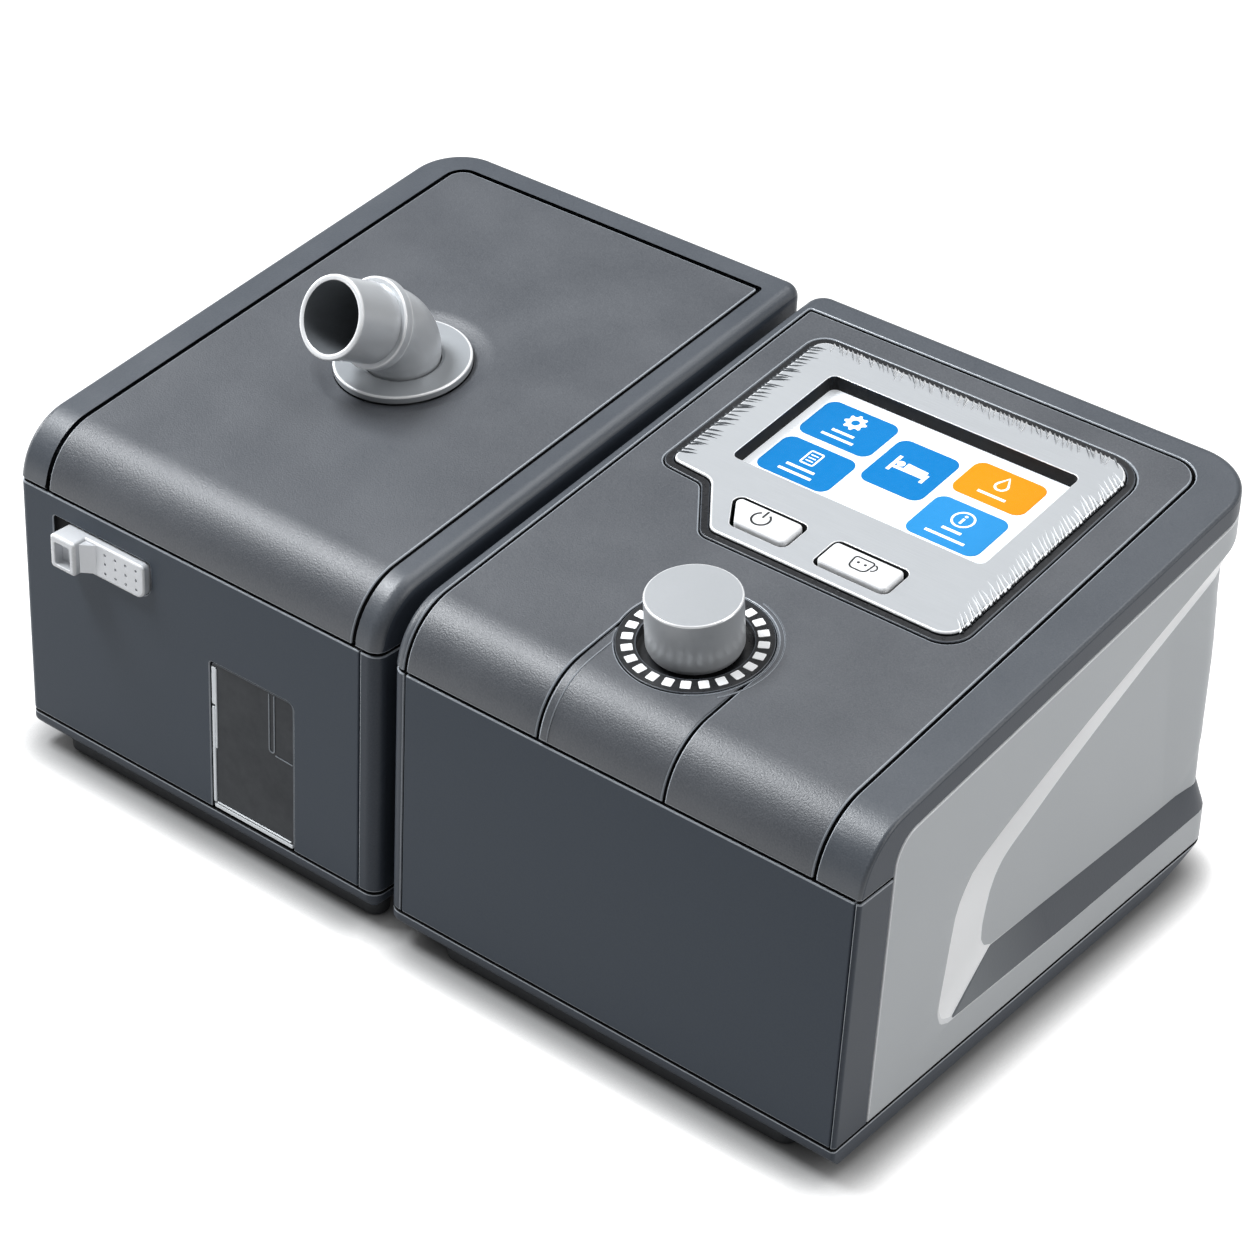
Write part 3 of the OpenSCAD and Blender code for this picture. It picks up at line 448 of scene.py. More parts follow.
def lathe(bm, profile, matrix, finishes, steps=128):
    """Turns a closed (radius, height) profile round the z axis of matrix."""
    rings = []
    for radius, height in profile:
        if radius < 1e-6:
            rings.append([bm.verts.new(matrix @ Vector((0, 0, height)))])
            continue
        rings.append([bm.verts.new(matrix @ Vector((x, y, height))) for x, y in circle(0, 0, radius, steps)])
    closed = profile[0][0] > 1e-6 and profile[-1][0] > 1e-6
    count = len(rings) if closed else len(rings) - 1
    for i in range(count):
        a, b = rings[i], rings[(i + 1) % len(rings)]
        for k in range(steps):
            corners = [a[k % len(a)], a[(k + 1) % len(a)], b[(k + 1) % len(b)], b[k % len(b)]]
            unique = list(dict.fromkeys(corners))
            if len(unique) > 2:
                bm.faces.new(unique).material_index = finishes[i]


# ---- Materials ----


def srgb(code):
    """A hex colour as linear light."""
    out = []
    for i in (0, 2, 4):
        value = int(code[i : i + 2], 16) / 255
        out.append(value / 12.92 if value <= 0.04045 else ((value + 0.055) / 1.055) ** 2.4)
    return (*out, 1.0)


def mixed(a, b, share):
    return tuple(x + (y - x) * share for x, y in zip(a, b))


def add_node(tree, kind, inputs, **settings):
    """A shader node. Each input is a plain value or the socket that feeds it."""
    node = tree.nodes.new("ShaderNode" + kind)
    for key, value in settings.items():
        setattr(node, key, value)
    for key, value in inputs.items():
        if isinstance(value, bpy.types.NodeSocket):
            tree.links.new(value, node.inputs[key])
        else:
            node.inputs[key].default_value = value
    return node


def surface(name, colour, rough, metallic=0.0, grain=(1300, 0.12), tone=0.08, stretch=(1, 1, 1),
            specular=0.5, alpha=1.0, glow=0.0):
    """A finish with a fine grain, a slow drift of tone and a varying roughness.

    grain is the scale of the fine pattern and the strength of its bump.
    """
    material = bpy.data.materials.new(name)
    material.use_nodes = True
    tree = material.node_tree
    shader = tree.nodes["Principled BSDF"]
    shader.inputs["Metallic"].default_value = metallic
    shader.inputs["Specular IOR Level"].default_value = specular
    shader.inputs["Alpha"].default_value = alpha
    place = add_node(tree, "TexCoord", {}).outputs["Object"]
    place = add_node(tree, "Mapping", {"Vector": place, "Scale": stretch}).outputs["Vector"]
    pattern = {"Vector": place, "Scale": grain[0], "Detail": 3.0, "Roughness": 0.55}
    fine = add_node(tree, "TexNoise", pattern).outputs["Fac"]
    slow = add_node(tree, "TexNoise", {"Vector": place, "Scale": 38.0, "Detail": 4.0}).outputs["Fac"]
    slow = add_node(tree, "Math", {0: slow, 1: 0.4}, operation="MULTIPLY").outputs["Value"]
    both = add_node(tree, "Math", {0: fine, 1: 0.6, 2: slow}, operation="MULTIPLY_ADD").outputs["Value"]

    base = srgb(colour)
    tones = {"A": mixed(base, (0, 0, 0, 1), tone), "B": mixed(base, (1, 1, 1, 1), tone * 0.25)}
    blend = add_node(tree, "Mix", {**tones, "Factor": both}, data_type="RGBA").outputs["Result"]
    tree.links.new(blend, shader.inputs["Base Color"])
    if glow:
        tree.links.new(blend, shader.inputs["Emission Color"])
        shader.inputs["Emission Strength"].default_value = glow

    low, high = max(rough - ROUGH_SPREAD, 0.02), rough + ROUGH_SPREAD
    span = {"Value": both, "From Min": 0.3, "From Max": 0.7, "To Min": low, "To Max": high}
    tree.links.new(add_node(tree, "MapRange", span).outputs["Result"], shader.inputs["Roughness"])
    bump = add_node(tree, "Bump", {"Strength": grain[1], "Distance": 0.0004, "Height": fine})
    tree.links.new(bump.outputs["Normal"], shader.inputs["Normal"])
    return material


def fade_to_painted_light(material, pale, start, end):
    """Paints light onto the base colour: it runs from a paler colour to its own between two plan distances y.
    """
    tree = material.node_tree
    base = tree.nodes["Principled BSDF"].inputs["Base Color"]
    own = base.links[0].from_socket
    place = add_node(tree, "TexCoord", {}).outputs["Object"]
    along = add_node(tree, "SeparateXYZ", {"Vector": place}).outputs["Y"]
    limits = {"From Min": (start - MID_Y) / 1000, "From Max": (end - MID_Y) / 1000}
    share = add_node(tree, "MapRange", {**limits, "Value": along}).outputs["Result"]
    colours = {"A": srgb(pale), "B": own, "Factor": share}
    tree.links.new(add_node(tree, "Mix", colours, data_type="RGBA").outputs["Result"], base)


BRUSHED = (0.06, 1.0, 1.0)
ROUGH_SPREAD = 0.06

# casing_mid and casing_top are one plastic in two tones, set to how light falls: the top's copy is painted
# darker (painted shade) and the fronts' copy lighter (painted light).
casing_dark = surface("casing_dark", "333B46", 0.42, grain=(2000, 0.10), tone=0.16, specular=0.2)
casing_mid = surface("casing_mid", "3D4651", 0.45, grain=(2400, 0.08), tone=0.10, specular=0.18)
casing_top = surface("casing_top", "353B44", 0.41, grain=(2100, 0.28), tone=0.40, specular=0.6)
casing_rim = surface("casing_rim", "3B424B", 0.38, grain=(2100, 0.16), tone=0.26, specular=0.6)
# The finishes named for edges are paler copies of their parts' finishes for rounded edges: painted
# highlights.
casing_edge_highlight = surface("casing_edge_highlight", "9AA0A7", 0.28, grain=(1500, 0.08), tone=0.10)
seam_black = surface("seam_black", "0C0D0F", 0.75, grain=(900, 0.10), specular=0.2)
side_silver = surface("side_silver", "BEC2C5", 0.46, grain=(1500, 0.10), tone=0.06)
side_edge_highlight = surface("side_edge_highlight", "EFF1F3", 0.25, grain=(1500, 0.05), tone=0.04)
# A paler, slightly glowing copy of the silver for the grip recess's upper wall: painted highlight.
side_painted_highlight = surface("side_painted_highlight", "FAFBFC", 0.34, grain=(1500, 0.06), tone=0.02, glow=0.06)
grip_dark = surface("grip_dark", "3A4049", 0.45, grain=(1400, 0.12), tone=0.10)
trim_black = surface("trim_black", "111317", 0.30, grain=(900, 0.05), tone=0.10)
trim_edge_highlight = surface("trim_edge_highlight", "4A4F56", 0.30, grain=(900, 0.05), tone=0.10)
bezel_silver = surface("bezel_silver", "B0B3B6", 0.42, metallic=0.1, grain=(1700, 0.12), tone=0.10,
                       stretch=BRUSHED)
bezel_edge_highlight = surface("bezel_edge_highlight", "F4F5F6", 0.25, metallic=0.2, grain=(1500, 0.05), tone=0.04)
stroke_painted_lit = surface("stroke_painted_lit", "F4F5F6", 0.35, grain=(1500, 0.05), tone=0.05)
stroke_painted_shade = surface("stroke_painted_shade", "5A5E62", 0.45, grain=(1500, 0.05), tone=0.10)
button_white = surface("button_white", "F0F1F2", 0.32, grain=(900, 0.04), tone=0.03)
symbol_black = surface("symbol_black", "15171A", 0.45, grain=(900, 0.05))
# The dial marks glow a little though they are no lamp: painted light.
mark_white = surface("mark_white", "F6F7F8", 0.40, grain=(900, 0.04), tone=0.03, glow=0.15)
knob_silver = surface("knob_silver", "B2B5B8", 0.36, metallic=0.25, grain=(1700, 0.01), tone=0.06)
knob_edge_highlight = surface("knob_edge_highlight", "F2F3F4", 0.22, metallic=0.3, grain=(1200, 0.04), tone=0.04)
hose_silver = surface("hose_silver", "CACDD0", 0.36, metallic=0.4, grain=(1700, 0.01), tone=0.06)
flange_silver = surface("flange_silver", "A6AAAE", 0.38, metallic=0.3, grain=(1700, 0.01), tone=0.06)
hose_edge_highlight = surface("hose_edge_highlight", "F4F5F6", 0.22, metallic=0.2, grain=(1100, 0.04), tone=0.04)
# A darker copy of the hose's silver for the tube's inside: painted shade.
hose_inside_painted_shade = surface("hose_inside_painted_shade", "6E7276", 0.40, grain=(1100, 0.06), tone=0.15)
latch_silver = surface("latch_silver", "DCDEE1", 0.36, metallic=0.25, grain=(1300, 0.08), tone=0.06)
latch_edge_highlight = surface("latch_edge_highlight", "F4F5F6", 0.28, grain=(1300, 0.05), tone=0.04)
window_dark = surface("window_dark", "20262D", 0.20, grain=(240, 0.02), tone=0.25, specular=0.12)
window_edge_highlight = surface("window_edge_highlight", "E9EDF0", 0.15, grain=(400, 0.05), tone=0.10, glow=0.12)
window_line = surface("window_line", "80878F", 0.2, grain=(400, 0.05), tone=0.10)
screen_white = surface("screen_white", "F2F6FA", 0.35, grain=(600, 0.02), tone=0.03, glow=0.45)
tile_blue = surface("tile_blue", "0072B4", 0.45, grain=(600, 0.02), tone=0.06, glow=0.35, specular=0.05)
tile_light = surface("tile_light", "2585C4", 0.45, grain=(600, 0.02), tone=0.06, glow=0.35, specular=0.05)
tile_orange = surface("tile_orange", "DA8A06", 0.45, grain=(600, 0.02), tone=0.06, glow=0.35, specular=0.05)
icon_white = surface("icon_white", "FFFFFF", 0.35, grain=(600, 0.02), tone=0.02, glow=0.45)
glass_clear = surface("glass_clear", "3A4046", 0.08, grain=(200, 0.01), tone=0.02, alpha=0.03)
rubber_dark = surface("rubber_dark", "1F2226", 0.65, grain=(1000, 0.25), tone=0.15)
board_green = surface("board_green", "1F5E3A", 0.40, grain=(700, 0.10), tone=0.25)
steel = surface("steel", "9A9EA3", 0.30, metallic=0.9, grain=(900, 0.06), tone=0.12)
motor_metal = surface("motor_metal", "8D9298", 0.35, metallic=0.7, grain=(900, 0.10), tone=0.15)
pale_plastic = surface("pale_plastic", "D5DADE", 0.38, grain=(1200, 0.08), tone=0.06)
foam_grey = surface("foam_grey", "6A6D70", 0.9, grain=(500, 0.9), tone=0.35)
tub_clear = surface("tub_clear", "B9CBD6", 0.12, grain=(200, 0.02), tone=0.05, alpha=0.35)
heater_metal = surface("heater_metal", "A6ABB0", 0.28, metallic=0.85, grain=(900, 0.08), tone=0.10,
                       stretch=BRUSHED)
gasket_rubber = surface("gasket_rubber", "8B9096", 0.60, grain=(900, 0.15), tone=0.10)

SLOT_FINISH = {
    "casing_dark": casing_dark,
    "casing_top": casing_top,
    "silver_side": side_silver,
    "grip_grey": grip_dark,
    "black_trim": trim_black,
    "bezel_silver": bezel_silver,
    "clear_window": tub_clear,
    "screen_face": screen_white,
    "circuit_board": board_green,
    "steel": steel,
    "mark_white": mark_white,
    "pale_plastic": pale_plastic,
    "motor_metal": motor_metal,
    "foam": foam_grey,
    "knob_silver": knob_silver,
    "heater_metal": heater_metal,
    "hose_silver": hose_silver,
    "latch_silver": latch_silver,
    "gasket_rubber": gasket_rubber,
}
DARK_SET = [casing_dark, casing_edge_highlight, seam_black, casing_dark]
FRONT_SET = [casing_mid, casing_edge_highlight, seam_black, casing_mid]
# On the rims the side-wall place takes casing_dark: painted shade on the rims' sides.
RIM_SET = [casing_rim, casing_edge_highlight, seam_black, casing_dark]
TOP_SET = [casing_top, casing_edge_highlight, seam_black]
TRAY_SET = [casing_dark, casing_edge_highlight, seam_black]

for entry in frame["record"]["subparts"]:
    cad = frame["nodes"][entry["node"]]
    cad.data.materials.clear()
    cad.data.materials.append(SLOT_FINISH[entry["material_slot"]])
    for polygon in cad.data.polygons:
        polygon.material_index = 0


# ---- Casings ----


def plan_outline(x0, x1, radii, inset):
    """Plan of a casing; radii are front left, front right, back right, back left."""
    tight = [max(r - inset, 0.3) for r in radii]
    return rectangle(x0 + inset, inset, x1 - inset, DEPTH - inset, tight, 10)


def main_radii(z):
    return [4, 1.2, rear_corner_r(z), 6]


def hum_radii(_):
    return [2.5, 4, 5, 16.5]


def main_tray_radii(z):
    """The tray's rear right corner is cut back below, so its lower edge sweeps up there."""
    return [4, 1.2, 8 + 3.6 * (TRAY_TOP - z), 6]


HUM_EDGES = (2.5, 4, 3.5)
MAIN_EDGES = (4, 1.2, 3.5)


def bent_between(a, b, share):
    """A direction part of the way from a to b."""
    angle = a.angle(b)
    return (a * math.sin((1 - share) * angle) + b * math.sin(share * angle)) / math.sin(angle)


def casing_points(x0, x1, radii_at, edges, inset, low):
    """Points on a casing above low. edges are the edge radii: left, right, rear."""
    points = []
    for z, drawn in ((low, inset + EDGE), (low + EDGE * 0.3, inset + EDGE * 0.3), (low + EDGE, inset)):
        points += [(x, y, z) for x, y in plan_outline(x0, x1, radii_at(z), drawn)]
    turns = [k / 8 for k in range(9)]
    for x, out, radius in ((x0 + inset, -1, edges[0]), (x1 - inset, 1, edges[1])):
        ball = max(radius - inset, 0.3)
        side = Vector((out, 0, 0))
        for k in range(ROLL_STEPS + 1):
            angle = ROLL_LENGTH / ROLL_R * k / ROLL_STEPS
            normal = Vector((0, -math.cos(angle), math.sin(angle)))
            middle = Vector((x - out * ball, ROLL_R, ROLL_Z)) + normal * (ROLL_R - inset - ball)
            if middle.z < low + EDGE:
                continue
            points += [tuple(middle + bent_between(normal, side, t) * ball) for t in turns]
    up = Vector((0, -math.sin(SLOPE), math.cos(SLOPE)))
    radii = radii_at(top_z(DEPTH) - 4)
    corners = ((x0, 1, radii[3], edges[0], 180, 90), (x1, -1, radii[2], edges[1], 0, 90))
    for x, inwards, plan_r, side_r, start, end in corners:
        for k in range(17):
            share = k / 16
            ball = max(side_r + (edges[2] - side_r) * share - inset, 0.3)
            corner_r = max(plan_r - inset, ball)
            angle = math.radians(start + (end - start) * share)
            out = Vector((math.cos(angle), math.sin(angle), 0))
            cx = x + inwards * (inset + corner_r) + out.x * (corner_r - ball)
            cy = DEPTH - inset - corner_r + out.y * (corner_r - ball)
            middle = Vector((cx, cy, top_z(cy) - (inset + ball) / math.cos(SLOPE)))
            points += [tuple(middle + bent_between(up, out, t) * ball) for t in turns]
    return points


def edge_levels(low, high):
    """(height, drawn in) up a wall whose lower and upper edges are rounded off."""
    return (
        (low, EDGE), (low + EDGE * 0.3, EDGE * 0.3), (low + EDGE, 0),
        (high - EDGE, 0), (high - EDGE * 0.3, EDGE * 0.3), (high, EDGE),
    )


def shell_points(x0, x1, radii_at, inset, low, high):
    points = []
    for z, drawn in edge_levels(low, high):
        points += [(x, y, z) for x, y in plan_outline(x0, x1, radii_at(z), inset + drawn)]
    return points


def tool(outline, border, bend=None, place=None):
    """A cutting tool: a slab that is placed as it is made, or bent afterwards."""
    bm = plate(outline, border, place=place)
    if bend:
        bend(bm)
    bmesh.ops.recalc_face_normals(bm, faces=bm.faces)
    return bm


def all_dark(_):
    return DARK


def box_tool(x0, y0, z0, x1, y1, z1):
    return hull([(x, y, z) for x in (x0, x1) for y in (y0, y1) for z in (z0, z1)], all_dark)


def rod_tool(axis, middle, radius, half):
    points = []
    for a, b in circle(0, 0, radius, 40):
        for t in (-half, half):
            spot = {"x": (t, a, b), "y": (a, t, b)}[axis]
            points.append(tuple(m + p for m, p in zip(middle, spot)))
    return hull(points, all_dark)


def front_edge_tool(x0, x1):
    """Takes the front panel's place out of a housing, with rounded upright edges."""
    e = EDGE
    gap = WALL + 0.25
    right = [(x1, gap), (x1, e), (x1 + 0.3 * e, 0.3 * e), (x1 + e, 0), (x1 + e + 0.5, -0.5)]
    left = [(x0 - e - 0.5, -0.5), (x0 - e, 0), (x0 - 0.3 * e, 0.3 * e), (x0, e), (x0, gap)]
    ahead = [(x1 + e + 0.5, -5), (x0 - e - 0.5, -5)]
    bm = plate(right + ahead + left, straight_cut(0, 100))
    for face in bm.faces:
        middle = face.calc_center_median()
        face.normal_update()
        if -0.01 < middle.y < e and abs(face.normal.x) > 0.2 and abs(face.normal.y) > 0.2:
            face.material_index = RIM
    return bm


def side_outline(grow):
    """The silver panel as (u, z), grown on its front, top and lower edges."""
    low = SHELL_LOW - grow
    front = SIDE_Y - grow
    points = [(front, low)]
    for k in range(SIDE_OUTLINE_STEPS + 1):
        z = low + (top_z(DEPTH) - SIDE_DROP + grow - low) * k / SIDE_OUTLINE_STEPS
        points.append((side_end(z) + grow, z))
    for u in range(176, int(SIDE_Y + 20), -8):
        points.append((u, top_z(u) - SIDE_DROP + grow))
    y = SIDE_Y + 30
    tips = [(front, low), (y, top_z(y) - SIDE_DROP + grow), (front, top_z(front) - SIDE_DROP + grow)]
    return points + rounded(tips, [0.1, 0.1, 9], 10)[-11:]


def side_tool():
    """Takes the silver panel's place out of a casing."""
    return tool(side_outline(0.45), pocket(6.4, 0.35), bend_round_corner)


def panel_outline(x0, x1, s0, y_back, radii):
    """A panel on the bent surface from s0 to y_back; radii are those at the back."""
    return rectangle(x0, s0, x1, top_s(y_back), [0.4, 0.4, *radii])


def hinge_ear(x0, x1, z0, z1):
    """One ear of the hinge: an eye behind the rear wall, drawn together with a root at z0 to z1."""
    middle_y, middle_z = DEPTH + 3, 86.7
    out = []
    for x, drawn in ((x0, 0.3), (x0 + 0.3, 0), (x1 - 0.3, 0), (x1, 0.3)):
        shrink = 1 - drawn / 6
        for y, z in [(DEPTH - 1, z0), (DEPTH - 1, z1)] + circle(middle_y, middle_z, 3, 24):
            out.append((x, middle_y + (y - middle_y) * shrink, middle_z + (z - middle_z) * shrink))
    return hull(out)


def add_to(obj, bm):
    """Joins another closed shape to obj."""
    helper = object_from(obj.name + "_more", bm, list(obj.data.materials))
    whole = bmesh.new()
    whole.from_mesh(obj.data)
    whole.from_mesh(helper.data)
    whole.to_mesh(obj.data)
    whole.free()
    bpy.data.meshes.remove(helper.data)


def front_panel(name, outline, materials):
    points = []
    for z, drawn in edge_levels(SHELL_LOW, LOWER_TOP):
        points += [(x, y, z) for x, y in grown(turned(outline), -drawn)]
    return object_from(name, hull(points, band_finish(SHELL_LOW, LOWER_TOP)), materials)


def tray(name, x0, x1, radii_at, body, node, steep=0.0):
    """steep is the share of the lower edge's slope taken away on the right side."""
    points = []
    levels = ((3.4, 4.5), (2.6, 5.1), (0.5, 7.4), (0.12, 8.0), (0, 8.6), (0, 10.2), (0.12, 10.5), (0.4, 10.6))
    for drawn, z in levels:
        points += [(x, y, z) for x, y in plan_outline(x0, x1 + drawn * steep, radii_at(z), drawn)]

    def pick(face):
        if face.normal.z > 0.9:
            return DARK
        return RIM if min(v.co.z for v in face.verts) > 10.19 else FACE

    piece(name, hull(points, pick), TRAY_SET, body, [node])


def feet(name, x0, x1, body, node):
    bm = bmesh.new()
    for y in (8, DEPTH - 12):
        outline = arc(x1 - 4, y, 4, -90, 90, 12) + arc(x0 + 4, y, 4, 90, 270, 12)
        border = [(0.5, 0, FACE), (0.1, 0.25, FACE), (0, 0.6, FACE), (0, FOOT_H + 0.3, FACE)]
        slab(bm, outline, border)
    piece(name, bm, [rubber_dark] * 3, body, [node])


def casing_upper(name, x0, x1, radii_at, edges, seat, wide_radii, radii, *tools):
    """The hollow rim of a unit. seat is the panel's seat: left, right and back."""
    left, right, back = seat
    shell = hull(casing_points(x0, x1, radii_at, edges, 0, UPPER_LOW), band_finish(UPPER_LOW, 999))
    hollow = hull(casing_points(x0, x1, radii_at, edges, TOP_T + 1.2, UPPER_LOW - 3))
    opening = panel_outline(left + SEAT_W, right - SEAT_W, BELOW_SEAM, back - SEAT_W, radii)
    place = panel_outline(left, right, BELOW_SEAM, back, wide_radii)
    return cut(
        object_from(name, shell, RIM_SET),
        hollow,
        tool(opening, straight_cut(-9, -2), bend_over_roll),
        tool(place, pocket(SEAT_DEPTH), bend_over_roll),
        *tools,
    )


def casing_lower(name, x0, x1, radii_at, *tools):
    """The hollow housing of a unit, with the tools' openings."""
    shell = hull(shell_points(x0, x1, radii_at, 0, SHELL_LOW, LOWER_TOP), band_finish(SHELL_LOW, LOWER_TOP))
    hollow = hull(shell_points(x0, x1, radii_at, WALL, 0, 100))
    return cut(object_from(name, shell, DARK_SET), hollow, *tools)


# Humidifier

HUM_SEAT = (LID_LEFT, HUM_W - LID_RIGHT, DEPTH - LID_BACK)
lid_rim = casing_upper("humidifier_lid_rim", 0, HUM_W, hum_radii, HUM_EDGES, HUM_SEAT, (1, 6), (1, 3))
for x in (25.4, 91.4):
    add_to(lid_rim, hinge_ear(x, x + 14.2, 90, 98))
finish_piece(lid_rim, "humidifier_lid", ["lid_rim"])

dimple = [(0, -3, DARK)]
for reach in range(13):
    dimple.append((0.55 * reach, -0.7 * (1 + math.cos(math.pi * reach / 12)), FACE))
left, right, back = HUM_SEAT
panel = plate(
    panel_outline(left + PANEL_GAP, right - PANEL_GAP, front_s(UPPER_LOW), back - PANEL_GAP, (0.8, 5)),
    bevelled(-3, 0),
    [(circle(OUTLET[0], top_s(OUTLET[1]), 19.95, 96), dimple, False)],
)
bend_over_roll(panel)
piece("humidifier_lid_panel", panel, TOP_SET, "humidifier_lid", ["lid_panel"])

housing = casing_lower(
    "humidifier_shell", 0, HUM_W, hum_radii,
    front_edge_tool(-8, HUM_FRONT_END + 0.45),
    rod_tool("x", (HUM_W, *PORT), 13.4, 4),
    box_tool(HUM_W - 4, 133, 23, HUM_W + 2, 151, 31),
)
for x in (18, 40, 84, 106):
    add_to(housing, hinge_ear(x, x + 7, 72.7, 85.6))
finish_piece(housing, "humidifier", ["humidifier_housing"])

right_edge = arc(HUM_FRONT_END - 0.4, 0.4, 0.4, 270, 360, 4) + [(HUM_FRONT_END, WALL), (0, WALL)]
hum_front = front_panel("humidifier_front_panel", arc(2.5, 2.5, 2.5, 180, 270, 8) + right_edge, FRONT_SET)
window_hole = rectangle(WINDOW[0], 4, WINDOW[1], WINDOW[2], [0.5, 0.5, 2.4, 1.2])
latch_hole = rectangle(13.1, 70, 51.2, 81.8, [2, 5, 1.2, 1.2])
cut(
    hum_front,
    tool(window_hole, pocket(4, 0.35), place=on_front),
    tool(latch_hole, pocket(1.6, 0.35), place=on_front),
    box_tool(19.4, 1, 74, 32.5, 6, 78),
)
finish_piece(hum_front, "humidifier", ["humidifier_front"])

tray("humidifier_tray", 0, HUM_W, hum_radii, "humidifier", "humidifier_base")
tray("main_tray", MAIN_X, TOTAL_W, main_tray_radii, "main_unit", "main_base", 0.8)
feet("humidifier_foot_rails", 10, HUM_W - 3, "humidifier", "humidifier_feet")
feet("main_foot_rails", MAIN_X + 16, TOTAL_W - 16, "main_unit", "main_feet")

# Main unit

MAIN_SEAT = (MAIN_X + RIM_LEFT, TOTAL_W - RIM_RIGHT, DEPTH - RIM_BACK)
top_rim = casing_upper(
    "main_top_rim", MAIN_X, TOTAL_W, main_radii, MAIN_EDGES, MAIN_SEAT, (9.5, 1), (6, 1),
    side_tool(),
)
finish_piece(top_rim, "main_unit", ["top_rim"])

RING_S = top_s(KNOB[1])
FRONT_S = front_s(UPPER_LOW)


def strip_arc(radius, left, right, lower):
    """The dial strip's arc round the ring, on its lower or upper side."""
    left_turn = math.degrees(math.acos((KNOB[0] - left) / radius))
    right_turn = -math.degrees(math.acos((right - KNOB[0]) / radius))
    if lower:
        return arc(KNOB[0], RING_S, radius, right_turn, left_turn - 180, 40)
    return arc(KNOB[0], RING_S, radius, 180 + left_turn, right_turn, 56)


notch = (STRIP_X[0] - STRIP_GAP, STRIP_X[1] + STRIP_GAP)
x0, x1, y1 = MAIN_SEAT[0] + PANEL_GAP, MAIN_SEAT[1] - PANEL_GAP, MAIN_SEAT[2] - PANEL_GAP
corners = [(x1, FRONT_S), (x1, top_s(y1)), (x0, top_s(y1)), (x0, FRONT_S)]
cover_edge = [(notch[0], FRONT_S)] + strip_arc(RING_R + 0.65, *notch, False) + [(notch[1], FRONT_S)]
surround = to_surface(rounded(grown(BEZEL, 2.9), SURROUND_RADII))
cover_edge += rounded(corners, [0.4, 8.5, 0.8, 0.4])
cover = plate(cover_edge, bevelled(-3, 0), [(surround, bevelled(-3, 0, 0.45), False)])
bend_over_roll(cover)
piece("main_top_cover", cover, TOP_SET, "main_unit", ["top_cover"])

front_edge = [(STRIP_X[0], FRONT_S), (STRIP_X[1], FRONT_S)]
strip = plate(front_edge + strip_arc(RING_R + 0.15, *STRIP_X, True), bevelled(-3, 0))
bend_over_roll(strip)
piece("main_dial_strip", strip, TOP_SET, "main_unit", ["knob_strip"])

ridge_x = (STRIP_X[0] + 0.45, STRIP_X[0] + 2.9)
ridge_back = [(x, RING_S - math.sqrt((RING_R + 0.5) ** 2 - (KNOB[0] - x) ** 2)) for x in ridge_x[::-1]]
ridge = plate([(x, FRONT_S + 0.5) for x in ridge_x] + ridge_back, bevelled(-1, 0.28, 0.26, 3, 0.1))
bend_over_roll(ridge)
piece("dial_strip_ridge", ridge, TOP_SET, "main_unit")

main_shell = casing_lower(
    "main_shell", MAIN_X, TOTAL_W, main_radii,
    front_edge_tool(MAIN_FRONT[0] - 0.45, MAIN_FRONT[1] + 0.3),
    rod_tool("x", (MAIN_X, *PORT), 10.8, 4),
    box_tool(MAIN_X - 2, 132, 22, MAIN_X + 4, 152, 32),
    rod_tool("y", (164, DEPTH, 32), 6.2, 4),
    box_tool(190, DEPTH - 4, 18, 234, DEPTH + 2, 42),
    side_tool(),
)
finish_piece(main_shell, "main_unit", ["main_housing"])

left_edge = arc(MAIN_FRONT[0] + 0.4, 0.4, 0.4, 180, 270, 4)
right_edge = arc(MAIN_FRONT[1] - 0.4, 0.4, 0.4, 270, 360, 4)
main_outline = left_edge + right_edge + [(MAIN_FRONT[1], WALL), (MAIN_FRONT[0], WALL)]
main_front = front_panel("main_front_panel", main_outline, FRONT_SET)
finish_piece(main_front, "main_unit", ["main_front"])

# ---- Silver side panel with its grip recess ----


def between(points, count):
    """count places spread evenly along an open line of points."""
    lengths = [0.0]
    for a, b in zip(points, points[1:]):
        lengths.append(lengths[-1] + math.dist(a, b))
    out = []
    for k in range(count):
        target = lengths[-1] * k / count
        i = max(j for j in range(len(points) - 1) if lengths[j] <= target + 1e-9)
        share = (target - lengths[i]) / (lengths[i + 1] - lengths[i])
        out.append(tuple(a + (b - a) * share for a, b in zip(points[i], points[i + 1])))
    return out


# The recess as (u, z): its lower edge, rear end, upper edge, upper corner, front edge and
# lower corner. The two outlines have as many places on each stretch.
GRIP_END = 189.0
GRIP_COUNTS = (34, 14, 40, 10, 8, 8)
GRIP_OUTER = [
    [(48.2, 23.0), (97, 21.8), (GRIP_END, 22.2)],
    [(GRIP_END, 22.2), (GRIP_END, 119)],
    [
        (GRIP_END, 119), (165, 112), (155.6, 109), (127.7, 99.7), (100.8, 90.6), (83.4, 84.1),
        (66.4, 77.2), (58, 73.5),
    ],
    [(58, 73.5), (54, 71.5), (50.8, 69.1), (48.5, 66), (46.4, 62.4), (45.1, 58.1)],
    [(45.1, 58.1), (44, 48), (43.2, 39.5), (42.5, 33)],
    [(42.5, 33), (42.3, 29), (44.3, 24.6), (48.2, 23.0)],
]
